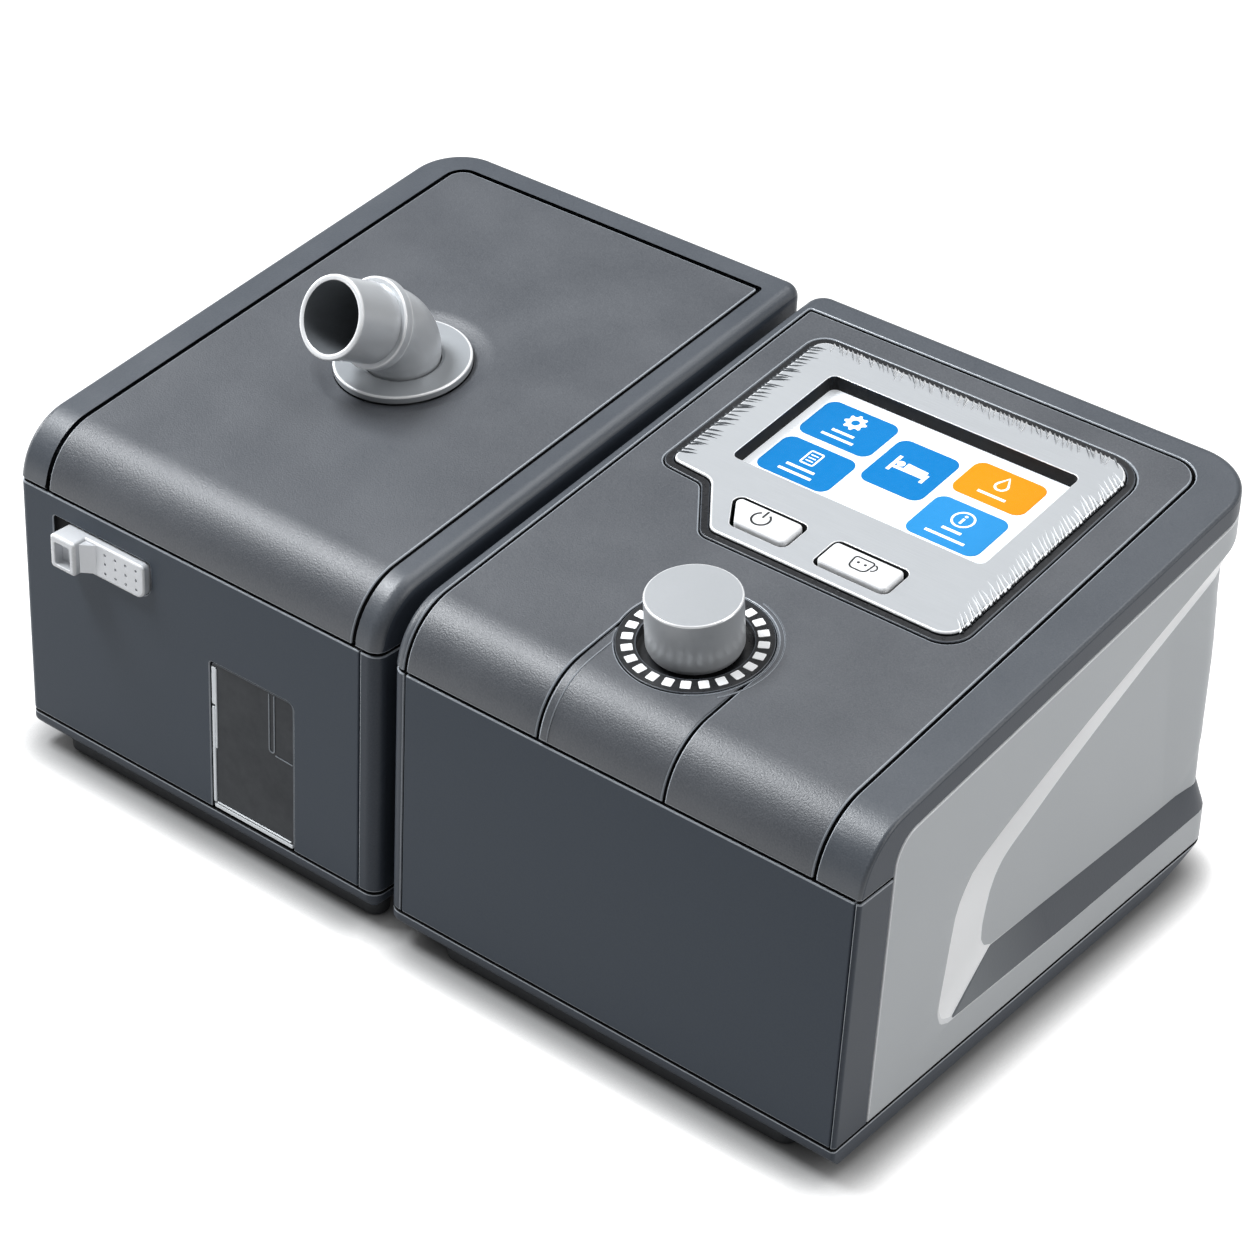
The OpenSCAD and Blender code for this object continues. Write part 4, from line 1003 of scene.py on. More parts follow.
GRIP_INNER = [
    [(72.1, 32.5), (151.7, 30.0), (GRIP_END, 30.4)],
    [(GRIP_END, 30.4), (GRIP_END, 109.5)],
    [
        (GRIP_END, 109.5), (175.5, 104), (154.8, 96.3), (136.1, 89.3), (118, 81.9), (100.4, 74.2),
        (91.7, 70.0), (83.6, 65.8),
    ],
    [(83.6, 65.8), (78.6, 63.4), (74.8, 61.4), (71.8, 59.1), (69.6, 56), (68, 52)],
    [(68, 52), (67, 47), (66.4, 42.3), (66.5, 39.5)],
    [(66.5, 39.5), (66.8, 37), (68.5, 34.2), (72.1, 32.5)],
]
GRIP_DEPTH = 4.0
GRIP_SHALLOW_FROM = 165
SIDE_T = 3


def grip_depth(u):
    """Depth of the recess, which runs out round the rear corner."""
    if u < GRIP_SHALLOW_FROM:
        return GRIP_DEPTH
    return GRIP_DEPTH - 2.2 * (u - GRIP_SHALLOW_FROM) / (GRIP_END - GRIP_SHALLOW_FROM)


def grip_ring(sections):
    out = []
    for points, count in zip(sections, GRIP_COUNTS):
        out += between(points, count)
    return turned(out)


def build_side_panel():
    """A plate with an opening, whose edge is carried down to the floor of the recess."""
    outer = grip_ring(GRIP_OUTER)
    inner = grip_ring(GRIP_INNER)
    opening = (outer, [(0, -SIDE_T, DARK), (0, 0, FACE)], False)
    bm = plate(side_outline(0), bevelled(-SIDE_T, 0, 0.45), [opening])
    underside = [f for f in bm.faces if all(abs(v.co.z + SIDE_T) < 1e-4 for v in f.verts)]
    bmesh.ops.delete(bm, geom=underside, context="FACES")
    on_face = [v for v in bm.verts if abs(v.co.z) < 1e-4]
    previous = [min(on_face, key=lambda v: math.dist(v.co.xy, p)) for p in outer]
    low = [v for v in bm.verts if abs(v.co.z + SIDE_T) < 1e-4]
    unused = [v for v in low if any(math.dist(v.co.xy, p) < 1e-4 for p in outer)]
    bmesh.ops.delete(bm, geom=unused, context="VERTS")
    for share, depth in ((0.06, 0.16), (0.5, 0.58), (0.94, 0.97), (1.0, 1.0)):
        ring = []
        for a, b in zip(outer, inner):
            u = a[0] + (b[0] - a[0]) * share
            z = a[1] + (b[1] - a[1]) * share
            ring.append(bm.verts.new((u, z, -grip_depth(u) * depth)))
        for corners in zip(previous, previous[1:] + previous[:1], ring[1:] + ring[:1], ring):
            # The recess's upper wall takes the bright edge finish, then the pale wall finish: painted
            # highlights.
            bm.faces.new(corners).material_index = RIM if share < 0.1 else LIT
        previous = ring
    bmesh.ops.triangle_fill(bm, use_beauty=True, edges=edges_of(bm, previous), normal=(0, 0, 1))
    bend_round_corner(bm)
    return bm


# The grip recess's upper wall gets painted highlights: a bright edge and a paler, slightly glowing wall.
SIDE_SET = [side_silver, side_edge_highlight, seam_black, side_painted_highlight]
piece("main_side_panel", build_side_panel(), SIDE_SET, "main_unit", ["side_panel"])


def build_grip_insert():
    """The dark ledge on the lower wall of the recess."""
    bm = bmesh.new()
    end = GRIP_END - 2
    section = ((0.0, 0.25), (0.04, 0.35), (0.5, 0.35), (0.96, 0.35), (1.0, 0.25), (1.0, -0.6), (0.0, -0.6))
    rows = []
    for k in range(60):
        share = k / 59
        lower = (50.5 + (end - 50.5) * share, 23.3 - 1.4 * min(share * 2.5, 1) + 0.3 * share)
        upper = (72.1 + (end - 72.1) * share, 32.4 - 2.2 * min(share * 1.4, 1))
        row = []
        for t, lift in section:
            u = lower[0] + (upper[0] - lower[0]) * t
            z = lower[1] + (upper[1] - lower[1]) * t
            row.append(bm.verts.new((u, z, -grip_depth(u) * t + lift * 0.8 - 0.2)))
        rows.append(row)
    for a, b in zip(rows, rows[1:]):
        for corners in zip(a, b, b[1:] + b[:1], a[1:] + a[:1]):
            bm.faces.new(corners)
    bm.faces.new(rows[0])
    bm.faces.new(rows[-1][::-1])
    lay(bm.verts, on_side)
    return bm


# The ledge's front end is painted lighter, running to its own dark towards the rear: painted light.
fade_to_painted_light(grip_dark, "6F7478", 58, 96)
piece("main_grip_insert", build_grip_insert(), [grip_dark], "main_unit", ["side_insert"])

# ---- Screen, buttons and dial ----


def top_slab(bm, outline, border, holes=()):
    """Adds a slab to the sloping top. Its outlines are plan outlines, its holes go through."""
    openings = [(to_surface(points), profile, False) for points, profile in holes]
    slab(bm, to_surface(outline), border, openings, on_casing)


def stroke(bm, points, width, low, high, place, closed=False):
    """A flat line of even width through the points."""
    count = len(points)
    left = []
    right = []
    for i, p in enumerate(points):
        here = Vector(p)
        ahead = Vector(points[(i + 1) % count]) if closed or i < count - 1 else here
        behind = Vector(points[i - 1]) if closed or i > 0 else here
        along = (ahead - behind).normalized()
        side = Vector((-along.y, along.x)) * width / 2
        left.append(tuple(here + side))
        right.append(tuple(here - side))
    border = straight_cut(low, high)
    if closed:
        inner, outer = sorted((left, right), key=lambda line: abs(area_of(line)))
        slab(bm, outer, border, [(inner, border, False)], place)
    else:
        slab(bm, left + right[::-1], border, place=place)


def sign(strokes, fills, low, high):
    """A sign on the top, made of strokes (points, width, closed) and filled outlines."""
    bm = bmesh.new()
    for points, width, closed in strokes:
        stroke(bm, to_surface(points), width, low, high, on_casing, closed)
    for points in fills:
        top_slab(bm, points, straight_cut(low, high))
    return bm


well = rounded(SCREEN, [2.2] * 4)
tray_lip = [(0, -4, DARK), (0, 0.05, DARK), (0.25, 0.3, RIM), (0.5, 0.3, FACE)]
well_wall = straight_cut(-6.6, -1.4)
tray_floor = straight_cut(-3.9, -2.6)
screen_tray = bmesh.new()
tray_hole = rounded(grown(BEZEL, 0.3), BEZEL_RADII)
tray_edge = rounded(grown(BEZEL, 2.6), SURROUND_RADII)
top_slab(screen_tray, tray_edge, bevelled(-4, 0.3, 0.3), [(tray_hole, tray_lip)])
top_slab(screen_tray, rounded(grown(SCREEN, 1.6), [1.5] * 4), well_wall, [(well, well_wall)])
floor_holes = [grown(SCREEN, 1.7), grown(POWER, 2.2), grown(MODE, 2.2)]
top_slab(screen_tray, grown(BEZEL, 0.35), tray_floor, [(p, tray_floor) for p in floor_holes])
TRIM_SET = [trim_black, trim_edge_highlight, seam_black]
piece("main_screen_tray", screen_tray, TRIM_SET, "main_unit", ["screen_tray"])

bezel = bmesh.new()
bezel_holes = [(well, bevelled(BEZEL_LOW, BEZEL_TOP, 0.18))]
for points in (POWER_HOLE, MODE_HOLE):
    bezel_holes.append((rounded(points, [2.4] * 4), bevelled(BEZEL_LOW, BEZEL_TOP, 0.2)))
top_slab(bezel, rounded(BEZEL, BEZEL_RADII), bevelled(BEZEL_LOW, BEZEL_TOP, 0.55), bezel_holes)
BEZEL_SET = [bezel_silver, bezel_edge_highlight, seam_black]
piece("main_screen_bezel", bezel, BEZEL_SET, "main_unit", ["screen_bezel"])
for name, points, body in (("power_button", POWER, "power_key"), ("mode_button", MODE, "mode_key")):
    cap = bmesh.new()
    top_slab(cap, rounded(points, [1.5] * 4), bevelled(-2.4, BUTTON_TOP, 0.9))
    piece(name + "_cap", cap, [button_white] * 3, body, [name])

SIGN_LOW, SIGN_HIGH = BUTTON_TOP - 0.05, BUTTON_TOP + 0.06
px, py = 192.9, 84.4
power_lines = (arc(px, py, 2.6, 122, 418, 28), [(px, py + 0.6), (px, py + 3.6)])
power_sign = sign([(line, 0.62, False) for line in power_lines], [], SIGN_LOW, SIGN_HIGH)
piece("power_symbol", power_sign, [symbol_black] * 3, "power_key")
mx, my = 225.3, 84.0
cup = [(mx - 2.6, my - 2.2), (mx + 2.6, my - 2.2), (mx + 3.1, my + 2.4), (mx - 3.1, my + 2.4)]
handle = arc(mx + 3.2, my + 0.6, 1.3, -80, 80, 12)
cup_strokes = [(rounded(cup, [1.6, 1.6, 0.8, 0.8]), 0.5, True), (handle, 0.45, False)]
cup_dots = [circle(mx + side, my + 0.5, 0.42, 16) for side in (-1.1, 1.1)]
mode_sign = sign(cup_strokes, cup_dots, SIGN_LOW, SIGN_HIGH)
piece("mode_symbol", mode_sign, [symbol_black] * 3, "mode_key")

# Each edge: start, end, slant, spread of slant, spacing, length and half width of its strokes
STROKE_EDGES = (
    ((260.5, 77.5), (260.5, 153), -36, 7, 1.62, (5.8, 8.6), (0.45, 0.62)),
    ((253, 160.5), (160, 160.5), 32, 16, 1.45, (3.8, 6.0), (0.38, 0.56)),
    ((156, 156.5), (156, 95.5), 24, 10, 1.70, (4.6, 6.4), (0.52, 0.74)),
)


def pointed_ridge(bm, foot, away, length, width, tall, lit, shaded):
    """A low ridge from foot that runs to a point; width is half its width at the foot. The lit and shaded
    finishes go on its two sides: painted light and shade.
    """
    across = Vector((-away.y, away.x))
    middle = foot + away * (length * 0.5) + across * random.uniform(-0.2, 0.2)
    tip = foot + away * length
    low = BEZEL_TOP - 0.5
    spots = [
        (foot + across * width, low), (foot - across * width, low), (foot, BEZEL_TOP + tall * 0.6),
        (middle + across * width * 0.8, low), (middle - across * width * 0.8, low),
        (middle, BEZEL_TOP + tall), (tip, BEZEL_TOP - 0.05), (tip, low),
    ]
    v = [bm.verts.new((p.x, top_s(p.y), h)) for p, h in spots]
    for corners, finish in (
        ((0, 3, 5, 2), lit), ((1, 2, 5, 4), shaded), ((3, 7, 6, 5), lit), ((4, 5, 6, 7), shaded),
        ((0, 2, 1), shaded), ((0, 1, 4, 3), shaded), ((3, 4, 7), shaded),
    ):
        bm.faces.new([v[i] for i in corners]).material_index = finish


def bezel_strokes():
    """Slanted raised strokes along three edges of the surround, with dark notches on the first that paint
    shadow into the gaps between strokes.
    """
    bm = bmesh.new()
    for index, (start, end, slant, spread, spacing, lengths, widths) in enumerate(STROKE_EDGES):
        a, b = Vector(start), Vector(end)
        along = (b - a).normalized()
        inwards = Vector((-along.y, along.x))
        count = int((b - a).length / spacing)
        for k in range(count):
            at = a + (b - a) * ((k + random.uniform(0.3, 0.7)) / count)
            away = Matrix.Rotation(math.radians(slant + random.uniform(-spread, spread)), 2) @ inwards
            foot = at - inwards * random.uniform(0.0, 0.4)
            length = random.uniform(*lengths)
            width = random.uniform(*widths)
            pointed_ridge(bm, foot, away, length, width, random.uniform(0.3, 0.55), FACE, RIM)
            if index == 0:
                # A dark notch between two strokes: painted shadow.
                notch = foot + along * (spacing * 0.5)
                pointed_ridge(bm, notch, away, random.uniform(1.6, 2.6), 0.3, 0.16, DARK, DARK)
    lay(bm.verts, on_casing)
    return bm


# Strokes take a pale finish on one side and a dark one on the other (painted light and shade); the third
# finish paints the shadow in the gaps.
STROKE_SET = [stroke_painted_lit, stroke_painted_shade, seam_black]
piece("bezel_strokes", bezel_strokes(), STROKE_SET, "main_unit", sharp=20)

# The display and its tiles, just under the clear cover
DISPLAY_H = -3.7
SHIFT_X, SHIFT_Y = 0.65 * DISPLAY_H, -0.8 * DISPLAY_H
display = bmesh.new()
top_slab(display, grown(SCREEN, 2.6), bevelled(-11.5, DISPLAY_H, 0.2))
DISPLAY_SET = [screen_white, screen_white, trim_black]
piece("display_face", display, DISPLAY_SET, "main_unit", ["lcd_module"])
lens = bmesh.new()
top_slab(lens, grown(SCREEN, -0.2), bevelled(DISPLAY_H + 0.35, DISPLAY_H + 0.8, 0.1))
piece("screen_cover_glass", lens, [glass_clear] * 3, "main_unit", ["screen_lens"])

# Each tile: its box, its finish, then as shares of its height the sign's half height and how
# far it sits above the middle, and the height share and half length of each bar
TILES = {
    "gear": ((174.0, 124.4, 197.8, 141.5), tile_blue, 0.20, 0.18, ((0.34, 3.6), (0.18, 5.2))),
    "page": ((174.0, 105.3, 197.8, 121.9), tile_blue, 0.20, 0.16, ((0.34, 4.6), (0.18, 5.4))),
    "bed": ((200.3, 116.6, 220.3, 138.1), tile_blue, 0.25, 0.0, ()),
    "drop": ((222.8, 126.9, 245.8, 141.9), tile_orange, 0.22, 0.12, ((0.24, 4.4),)),
    "info": ((222.8, 105.6, 245.8, 123.8), tile_light, 0.20, 0.16, ((0.36, 3.0), (0.18, 6.2))),
}
TILE_R = 3.2
BAR_W = 0.95


def gear_teeth(x, y, size):
    out = []
    for k in range(32):
        reach = size * (1.0 if k % 4 in (0, 1) else 0.76)
        angle = 2 * math.pi * k / 32
        out.append((x + reach * math.cos(angle), y + reach * math.sin(angle)))
    return out


def icon_shapes(kind, x, y, size):
    """Strokes and fills of a tile's generic sign."""

    def at(*spots):
        return [(x + size * u, y + size * v) for u, v in spots]

    if kind == "page":
        sheet = rounded(at((-0.62, -0.85), (0.62, -0.85), (0.62, 0.85), (-0.62, 0.85)), [0.5] * 4, 4)
        lines = [(at((-0.36, v), (0.36, v)), size * 0.12, False) for v in (-0.4, 0, 0.4)]
        return [(sheet, size * 0.16, True)] + lines, []
    if kind == "bed":
        bars = (at((-1, 0.7), (-1, -0.6)), at((-1, -0.2), (1, -0.2)), at((1, -0.6), (1, 0.1)))
        blanket = rounded(at((-0.35, -0.12), (0.92, -0.12), (0.92, 0.3), (-0.35, 0.38)), [0.2] * 4, 4)
        pillow = circle(x - size * 0.66, y + size * 0.16, size * 0.22, 18)
        return [(bar, size * 0.2, False) for bar in bars], [pillow, blanket]
    if kind == "drop":
        outline = arc(x, y - size * 0.25, size * 0.55, 150, 390, 20) + at((0, 0.95))
        return [(outline, size * 0.2, True)], []
    if kind == "info":
        stem = at((0, -0.5), (0, 0.15))
        ring = circle(x, y, size * 0.85, 32)
        dot = circle(x, y + size * 0.42, size * 0.13, 12)
        return [(stem, size * 0.2, False), (ring, size * 0.17, True)], [dot]
    return [], []


for kind, (box, finish, size_share, rise, bars) in TILES.items():
    x0, y0, x1, y1 = box[0] + SHIFT_X, box[1] + SHIFT_Y, box[2] + SHIFT_X, box[3] + SHIFT_Y
    tile = bmesh.new()
    tile_border = bevelled(DISPLAY_H - 0.2, DISPLAY_H + 0.12, 0.1, 2)
    top_slab(tile, rectangle(x0, y0, x1, y1, [TILE_R] * 4), tile_border)
    piece("tile_" + kind, tile, [finish] * 3, "main_unit")
    tall = y1 - y0
    x, y, size = (x0 + x1) / 2, (y0 + y1) / 2 + tall * rise, tall * size_share
    strokes, fills = icon_shapes(kind, x, y, size)
    for share, half in bars:
        strokes.append(([(x - half, y0 + tall * share), (x + half, y0 + tall * share)], BAR_W, False))
    low, high = DISPLAY_H + 0.05, DISPLAY_H + 0.2
    icon = sign(strokes, fills, low, high)
    if kind == "gear":
        border = straight_cut(low, high)
        top_slab(icon, gear_teeth(x, y, size), border, [(circle(x, y, size * 0.36, 24), border)])
    piece("icon_" + kind, icon, [icon_white] * 3, "main_unit")

# Dial ring with its marks, and the knob
ring = bmesh.new()
ring_profile = [(20.4, -4), (20.4, 0.1), (20.34, 0.24), (20.2, 0.3), (15.35, 0.3), (15.1, 0.24)]
ring_profile += [(15, 0.05), (15, -2.2), (4, -2.2), (4, -4)]
lathe(ring, ring_profile, top_frame(KNOB), [FACE, RIM, RIM, FACE, RIM, RIM] + [FACE] * 4)
piece("dial_ring_face", ring, [trim_black, trim_edge_highlight, trim_black], "main_unit", ["dial_ring"])
halo = bmesh.new()
for reach, start, end in ((22.6, -38, 78), (20.9, -60, 100)):
    outer = arc(KNOB[0], RING_S, reach + 0.22, start, end, 40)
    inner = arc(KNOB[0], RING_S, reach - 0.22, start, end, 40)
    slab(halo, outer + inner[::-1], bevelled(-0.5, 0.12, 0.1, 2, 0), place=on_casing)
piece("dial_halo_lines", halo, [casing_rim, casing_edge_highlight, casing_rim], "main_unit")
marks = bmesh.new()
for k in range(MARK_COUNT):
    turn = top_frame(KNOB) @ Matrix.Rotation(2 * math.pi * k / MARK_COUNT, 4, "Z")
    outline = rectangle(15.9, -1.35, 18.9, 1.35, [0.35] * 4, 4)
    slab(marks, outline, bevelled(-0.3, 0.42, 0.12, 2, 0.1), place=lambda x, y, h: turn @ Vector((x, y, h)))
piece("dial_mark_inlays", marks, [mark_white] * 3, "main_unit", ["dial_marks"])

KNOB_R, KNOB_H, KNOB_EDGE = 12.75, 15.0, 0.5
knob_profile = [(0, KNOB_H), (10.6, KNOB_H), (11.8, KNOB_H), (KNOB_R - KNOB_EDGE, KNOB_H)]
knob_profile += arc(KNOB_R - KNOB_EDGE, KNOB_H - KNOB_EDGE, KNOB_EDGE, 90, 0, 6)[1:]
knob_profile += [(KNOB_R, 8), (KNOB_R, 0.6), (KNOB_R - 0.2, 0.1), (KNOB_R - 0.6, -0.9)]
knob_profile += [(5, -0.9), (5, 6), (0, 6)]
knob = bmesh.new()
lathe(knob, knob_profile, top_frame(KNOB), [FACE, FACE, FACE] + [RIM] * 6 + [FACE] * 8)
piece("dial_knob_cap", knob, [knob_silver, knob_edge_highlight, knob_silver], "dial_knob", ["knob"])

# ---- Hose outlet ----

flange_profile = [(19.8, -0.8), (19.8, 0.75), (19.7, 1.0), (19.45, 1.17), (19.1, 1.2), (17.6, 1.16)]
flange_profile += [(12.2, 1.16), (11.9, 1.1), (11.05, 0.6), (11.05, -15), (13, -15), (13, -0.8)]
flange = bmesh.new()
lathe(flange, flange_profile, top_frame(OUTLET), [FACE, RIM, RIM, RIM] + [FACE] * 8)
FLANGE_SET = [flange_silver, hose_edge_highlight, flange_silver]
piece("outlet_flange_disc", flange, FLANGE_SET, "humidifier_lid", ["outlet_flange"])

BEND = math.radians(57)
BEND_R = 14.0
BEND_START = 3.7
BEND_LENGTH = BEND_R * BEND
BEND_END = BEND_START + BEND_LENGTH
MOUTH = BEND_END + 20.6
COLLAR = BEND_END + 1.07
ELBOW_TURN = math.radians(-96.5)
ELBOW_STEPS = 80


def elbow_path(length):
    """Centre and direction at a length counted from the outlet's surface."""
    if length <= BEND_START:
        return Vector((0, 0, length)), Vector((0, 0, 1))
    angle = min((length - BEND_START) / BEND_R, BEND)
    beyond = max(length - BEND_START - BEND_LENGTH, 0)
    along = Vector((math.sin(angle), 0, math.cos(angle)))
    middle = Vector((BEND_R * (1 - math.cos(angle)), 0, BEND_START + BEND_R * math.sin(angle)))
    return middle + along * beyond, along


def sweep(stations, matrix):
    """A closed tube wall; each station is (length along the elbow, radius, finish)."""
    bm = bmesh.new()
    rings = []
    for length, radius, _ in stations:
        middle, along = elbow_path(length)
        side = Vector((0, 1, 0))
        other = side.cross(along)
        ring = []
        for a, b in circle(0, 0, 1, ELBOW_STEPS):
            ring.append(bm.verts.new(matrix @ (middle + (side * b + other * a) * radius)))
        rings.append(ring)
    for a, b, (_, _, finish) in zip(rings, rings[1:] + rings[:1], stations):
        for corners in zip(a, a[1:] + a[:1], b[1:] + b[:1], b):
            bm.faces.new(corners).material_index = finish
    return bm


stations = [(-12, 10.6, FACE), (1.4, 10.6, FACE), (1.5, 10.9, FACE), (1.8, 11.0, FACE)]
stations += [(BEND_START, 11.1, FACE)]
stations += [(BEND_START + BEND_LENGTH * k / 18, 11.3, FACE) for k in range(1, 18)]
stations += [
    (BEND_END, 11.15, FACE), (COLLAR - 0.05, 11.0, FACE), (COLLAR, 12.6, RIM), (COLLAR + 0.15, 13.0, RIM),
    (COLLAR + 0.5, 13.1, FACE), (COLLAR + 2.7, 13.1, RIM), (COLLAR + 3.0, 12.9, RIM),
    (COLLAR + 3.2, 12.5, FACE), (COLLAR + 3.3, 11.4, FACE), (MOUTH - 6, 11.5, FACE),
    (MOUTH - 0.8, 11.9, RIM), (MOUTH - 0.3, 11.8, RIM), (MOUTH - 0.06, 11.5, RIM), (MOUTH, 11.0, RIM),
    (MOUTH - 0.06, 10.5, RIM), (MOUTH - 0.3, 10.2, DARK), (MOUTH - 1.5, 10.0, DARK), (BEND_END, 9.1, DARK),
]
stations += [(BEND_END - BEND_LENGTH * k / 14, 9.0, DARK) for k in range(1, 14)]
stations += [(BEND_START, 9.1, DARK), (-12, 9.15, FACE)]
elbow = sweep(stations, top_frame(OUTLET) @ Matrix.Rotation(ELBOW_TURN, 4, "Z"))
# The tube's inside takes a darker copy of its silver: painted shade.
ELBOW_SET = [hose_silver, hose_edge_highlight, hose_inside_painted_shade]
piece("outlet_elbow_tube", elbow, ELBOW_SET, "elbow", ["outlet_elbow"])

# ---- Latch and water window ----

latch = bmesh.new()
pit = [(0, 1.55, DARK), (0, 1.95, DARK), (0.08, 2, RIM)]
pits = [(circle(31.5 + 4 * i, 72.8 + 3 * k, 0.45, 10), pit, True) for i in range(5) for k in range(3)]
latch_bar = rectangle(27.3, 70.5, 50.5, 81.2, [0.5, 3.2, 1.6, 0.5])
slab(latch, latch_bar, bevelled(-1.3, 2, 0.6, 4, 0), pits, on_front)
head_pocket = [(0, 3.75, DARK), (0, 6.55, DARK), (0.2, 6.75, RIM), (0.3, 6.75, FACE)]
head_hole = (rectangle(20.6, 72.1, 26.4, 79, [0.5] * 4), head_pocket, True)
latch_head = rectangle(18.8, 70.6, 28.3, 81.2, [1.2] * 4)
slab(latch, latch_head, bevelled(-1.3, 6.75, 0.8, 4), [head_hole], on_front)
latch_body = object_from("latch_slide_body", latch, [latch_silver, latch_edge_highlight, latch_silver])
ramp = ((27.5, -1), (27.5, 5.2), (28.4, 4.2), (29.4, 3.1), (30.6, 2.35), (32, 2.02), (32, -1))
add_to(latch_body, hull([(x, -h, z) for x, h in ramp for z in (71.4, 80.4)]))
add_to(latch_body, box_tool(24, -1.2, 74.4, 32, 4.9, 77.6))
add_to(latch_body, box_tool(24, 4.8, 72.4, 38.4, 8.6, 77.6))
finish_piece(latch_body, "latch_slider", ["latch"])

pane_outline = rectangle(73.4, SHELL_LOW + 0.2, 104.0, 59.9, [0.5, 0.5, 2.2, 1])
pane = plate(pane_outline, bevelled(-WALL, -0.5, 0.3), place=on_front)
PANE_SET = [window_dark, window_line, window_dark]
piece("water_window_pane", pane, PANE_SET, "humidifier", ["water_window"])
# Bright, slightly glowing lines along the pane's edges: painted highlights.
edges = bmesh.new()
for box in (
    (73.6, 46.5, 75.0, 58.6), (73.6, 13.5, 74.6, 45.5), (74.8, 32, 75.3, 58.2),
    (74.0, SHELL_LOW + 0.35, 103.6, 12.9), (74.8, 13.3, 103.0, 13.7),
):
    slab(edges, rectangle(*box, [0.2] * 4, 4), bevelled(-0.7, -0.15, 0.15, 2, 0.05), place=on_front)
piece("window_painted_highlights", edges, [window_edge_highlight] * 3, "humidifier")
rib = bmesh.new()
loop = [(95.0, 59.4), (95.0, 41.6)] + arc(95.95, 41.4, 0.95, 180, 360, 8) + [(96.9, 41.6), (96.9, 59.4)]
stroke(rib, loop, 0.35, -0.7, -0.3, on_front)
stroke(rib, [(97.2, 39.9), (103.6, 39.6)], 0.3, -0.7, -0.35, on_front)
piece("window_rib", rib, [window_line] * 3, "humidifier")

# Rear filter cover with its slots
slots = [rectangle(194, 20.6 + 3.4 * i, 230, 22.2 + 3.4 * i, [0.6] * 4, 5) for i in range(6)]
filter_cover = bmesh.new()
for outline, border, slot_border in (
    (rectangle(191, 19, 233, 41, [1] * 4), straight_cut(-0.7, 0.35), straight_cut(-0.7, 0.35)),
    (rectangle(186.5, 14.5, 237.5, 45.5, [3] * 4), bevelled(0.3, 2.8, 0.5), bevelled(0.3, 2.8, 0.25, 2)),
):
    slab(filter_cover, outline, border, [(p, slot_border, False) for p in slots], on_rear)
piece("filter_cover_plate", filter_cover, FRONT_SET, "filter_door", ["filter_cover"])

# ---- Floor, light and camera ----

FLOOR_HALF = 12.0
FLOOR_STEPS = 12
FLOOR_DROP = 0.0004
PAINTED_SHADOW_REACH = 0.013
PAINTED_SHADOW_POWER = 4.0


def build_floor():
    bm = bmesh.new()
    marks = [FLOOR_HALF * (2 * i / FLOOR_STEPS - 1) for i in range(FLOOR_STEPS + 1)]
    grid = [[bm.verts.new((x, y, -FLOOR_DROP)) for y in marks] for x in marks]
    for a, b in zip(grid, grid[1:]):
        for corners in zip(a, b, b[1:], a[1:]):
            bm.faces.new(corners)
    return object_from("studio_floor", bm, [])


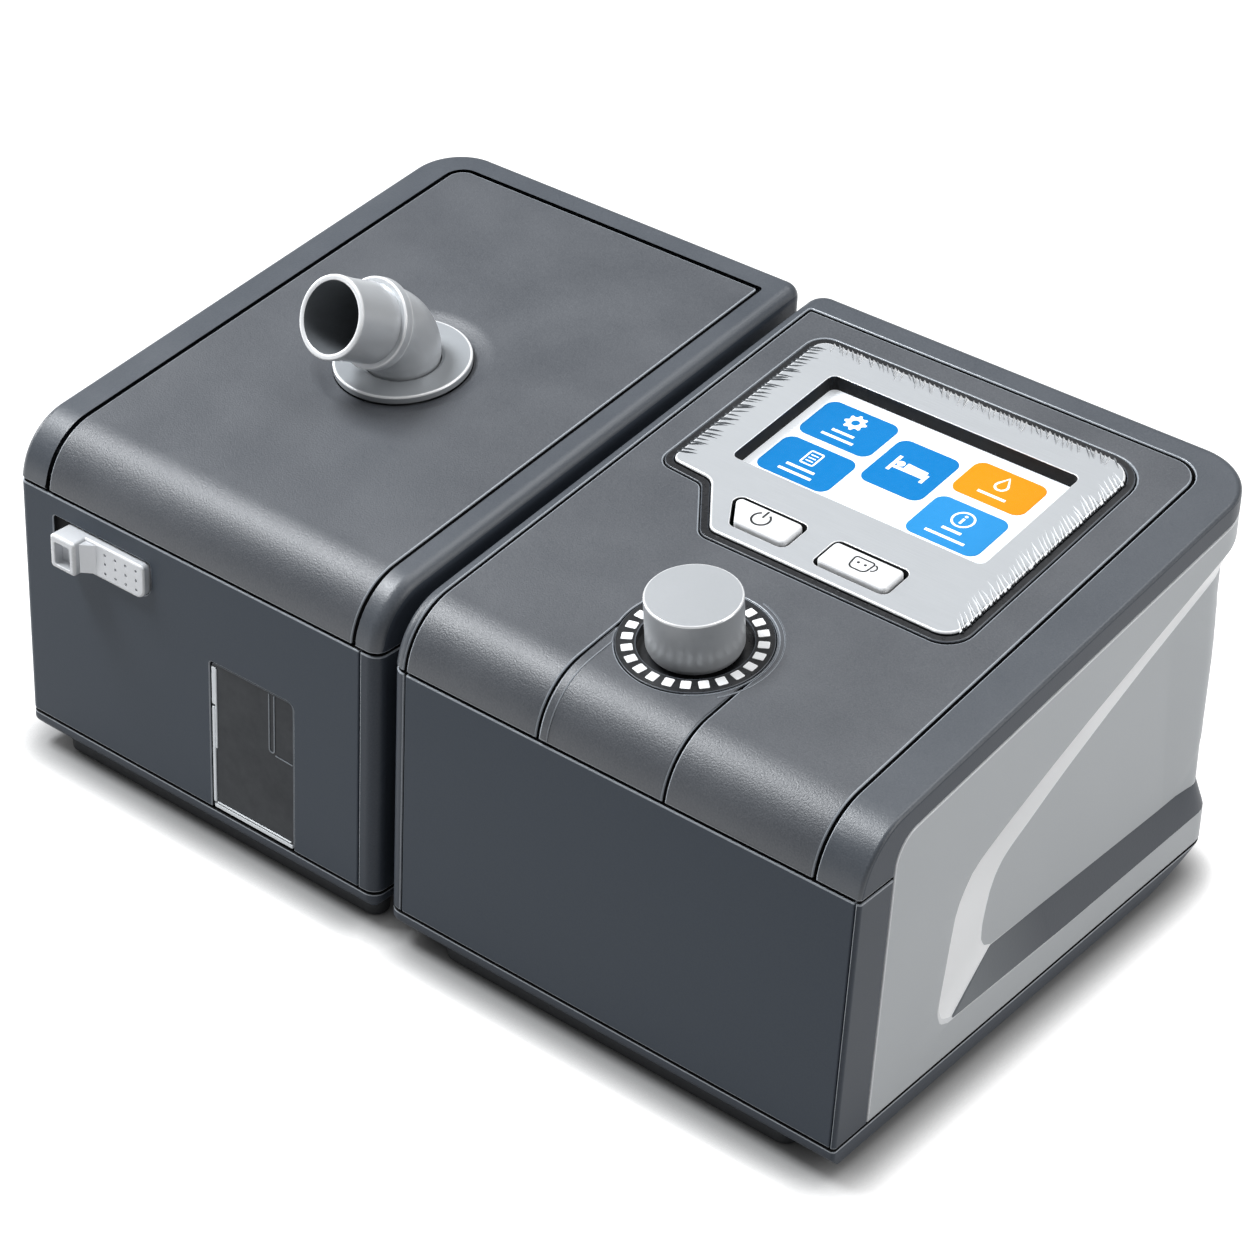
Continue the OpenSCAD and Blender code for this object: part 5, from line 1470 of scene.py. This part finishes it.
def paper_finish():
    """Pale paper that shows white; close to what stands on it its glow is darkened by ambient occlusion, a
    painted contact shadow.
    """
    paper = surface("paper_white", "8E8E8E", 0.9, grain=(60, 0.02), tone=0.02)
    tree = paper.node_tree
    rays = add_node(tree, "LightPath", {}).outputs
    seen = {0: rays["Is Camera Ray"], 1: rays["Is Glossy Ray"]}
    seen = add_node(tree, "Math", seen, operation="MAXIMUM").outputs["Value"]
    seen = {0: seen, 1: rays["Is Transmission Ray"]}
    seen = add_node(tree, "Math", seen, operation="MAXIMUM").outputs["Value"]
    near = add_node(tree, "AmbientOcclusion", {"Distance": PAINTED_SHADOW_REACH}, samples=16).outputs["AO"]
    fade = add_node(tree, "Math", {0: near, 1: PAINTED_SHADOW_POWER}, operation="POWER").outputs["Value"]
    shaded = add_node(tree, "Math", {0: seen, 1: fade}, operation="MULTIPLY").outputs["Value"]
    shader = tree.nodes["Principled BSDF"]
    shader.inputs["Emission Color"].default_value = (1, 1, 1, 1)
    tree.links.new(shaded, shader.inputs["Emission Strength"])
    return paper


floor = build_floor()
floor.data.materials.append(paper_finish())


def area_light(name, place, aim, size, power, colour=(1, 1, 1)):
    light = bpy.data.lights.new(name, "AREA")
    light.shape = "RECTANGLE"
    light.size, light.size_y = size
    light.energy = power
    light.color = colour
    obj = bpy.data.objects.new(name, light)
    obj.location = place
    obj.rotation_euler = (Vector(aim) - Vector(place)).to_track_quat("-Z", "Y").to_euler()
    bpy.context.scene.collection.objects.link(obj)


area_light("overhead_softbox", (0.1, 0.55, 1.5), (0, 0, 0.05), (1.0, 0.9), 9.5)
area_light("roll_softbox", (-0.66, -0.27, 1.15), (0, 0, 0.1), (0.58, 0.34), 19, (0.95, 0.975, 1.0))
area_light("left_softbox", (-1.4, -0.1, 0.5), (0, 0, 0.08), (0.5, 0.5), 7)
area_light("right_softbox", (1.5, 0.5, 0.8), (0, 0, 0.06), (0.8, 0.8), 9)

world = bpy.context.scene.world or bpy.data.worlds.new("studio_world")
bpy.context.scene.world = world
world.use_nodes = True
background = world.node_tree.nodes["Background"]
background.inputs["Color"].default_value = (0.97, 0.98, 1.0, 1)
background.inputs["Strength"].default_value = 0.24

CAMERA_AT = (0.63176, -0.55381, 0.5843)
CAMERA_TURN, CAMERA_TILT, CAMERA_ROLL = 36.998, 32.990, 3.281
camera_data = bpy.data.cameras.new("photo_camera")
camera_data.lens = 99.03
camera_data.sensor_width = 36
camera_data.clip_start = 0.01
camera = bpy.data.objects.new("photo_camera", camera_data)
camera.matrix_world = (
    Matrix.Translation((CAMERA_AT[0] - TOTAL_W / 2000, CAMERA_AT[1] - MID_Y / 1000, CAMERA_AT[2]))
    @ Matrix.Rotation(math.radians(CAMERA_TURN), 4, "Z")
    @ Matrix.Rotation(math.radians(90 - CAMERA_TILT), 4, "X")
    @ Matrix.Rotation(math.radians(CAMERA_ROLL), 4, "Z")
)
bpy.context.scene.collection.objects.link(camera)
bpy.context.scene.camera = camera
bpy.context.scene.view_settings.view_transform = "Standard"
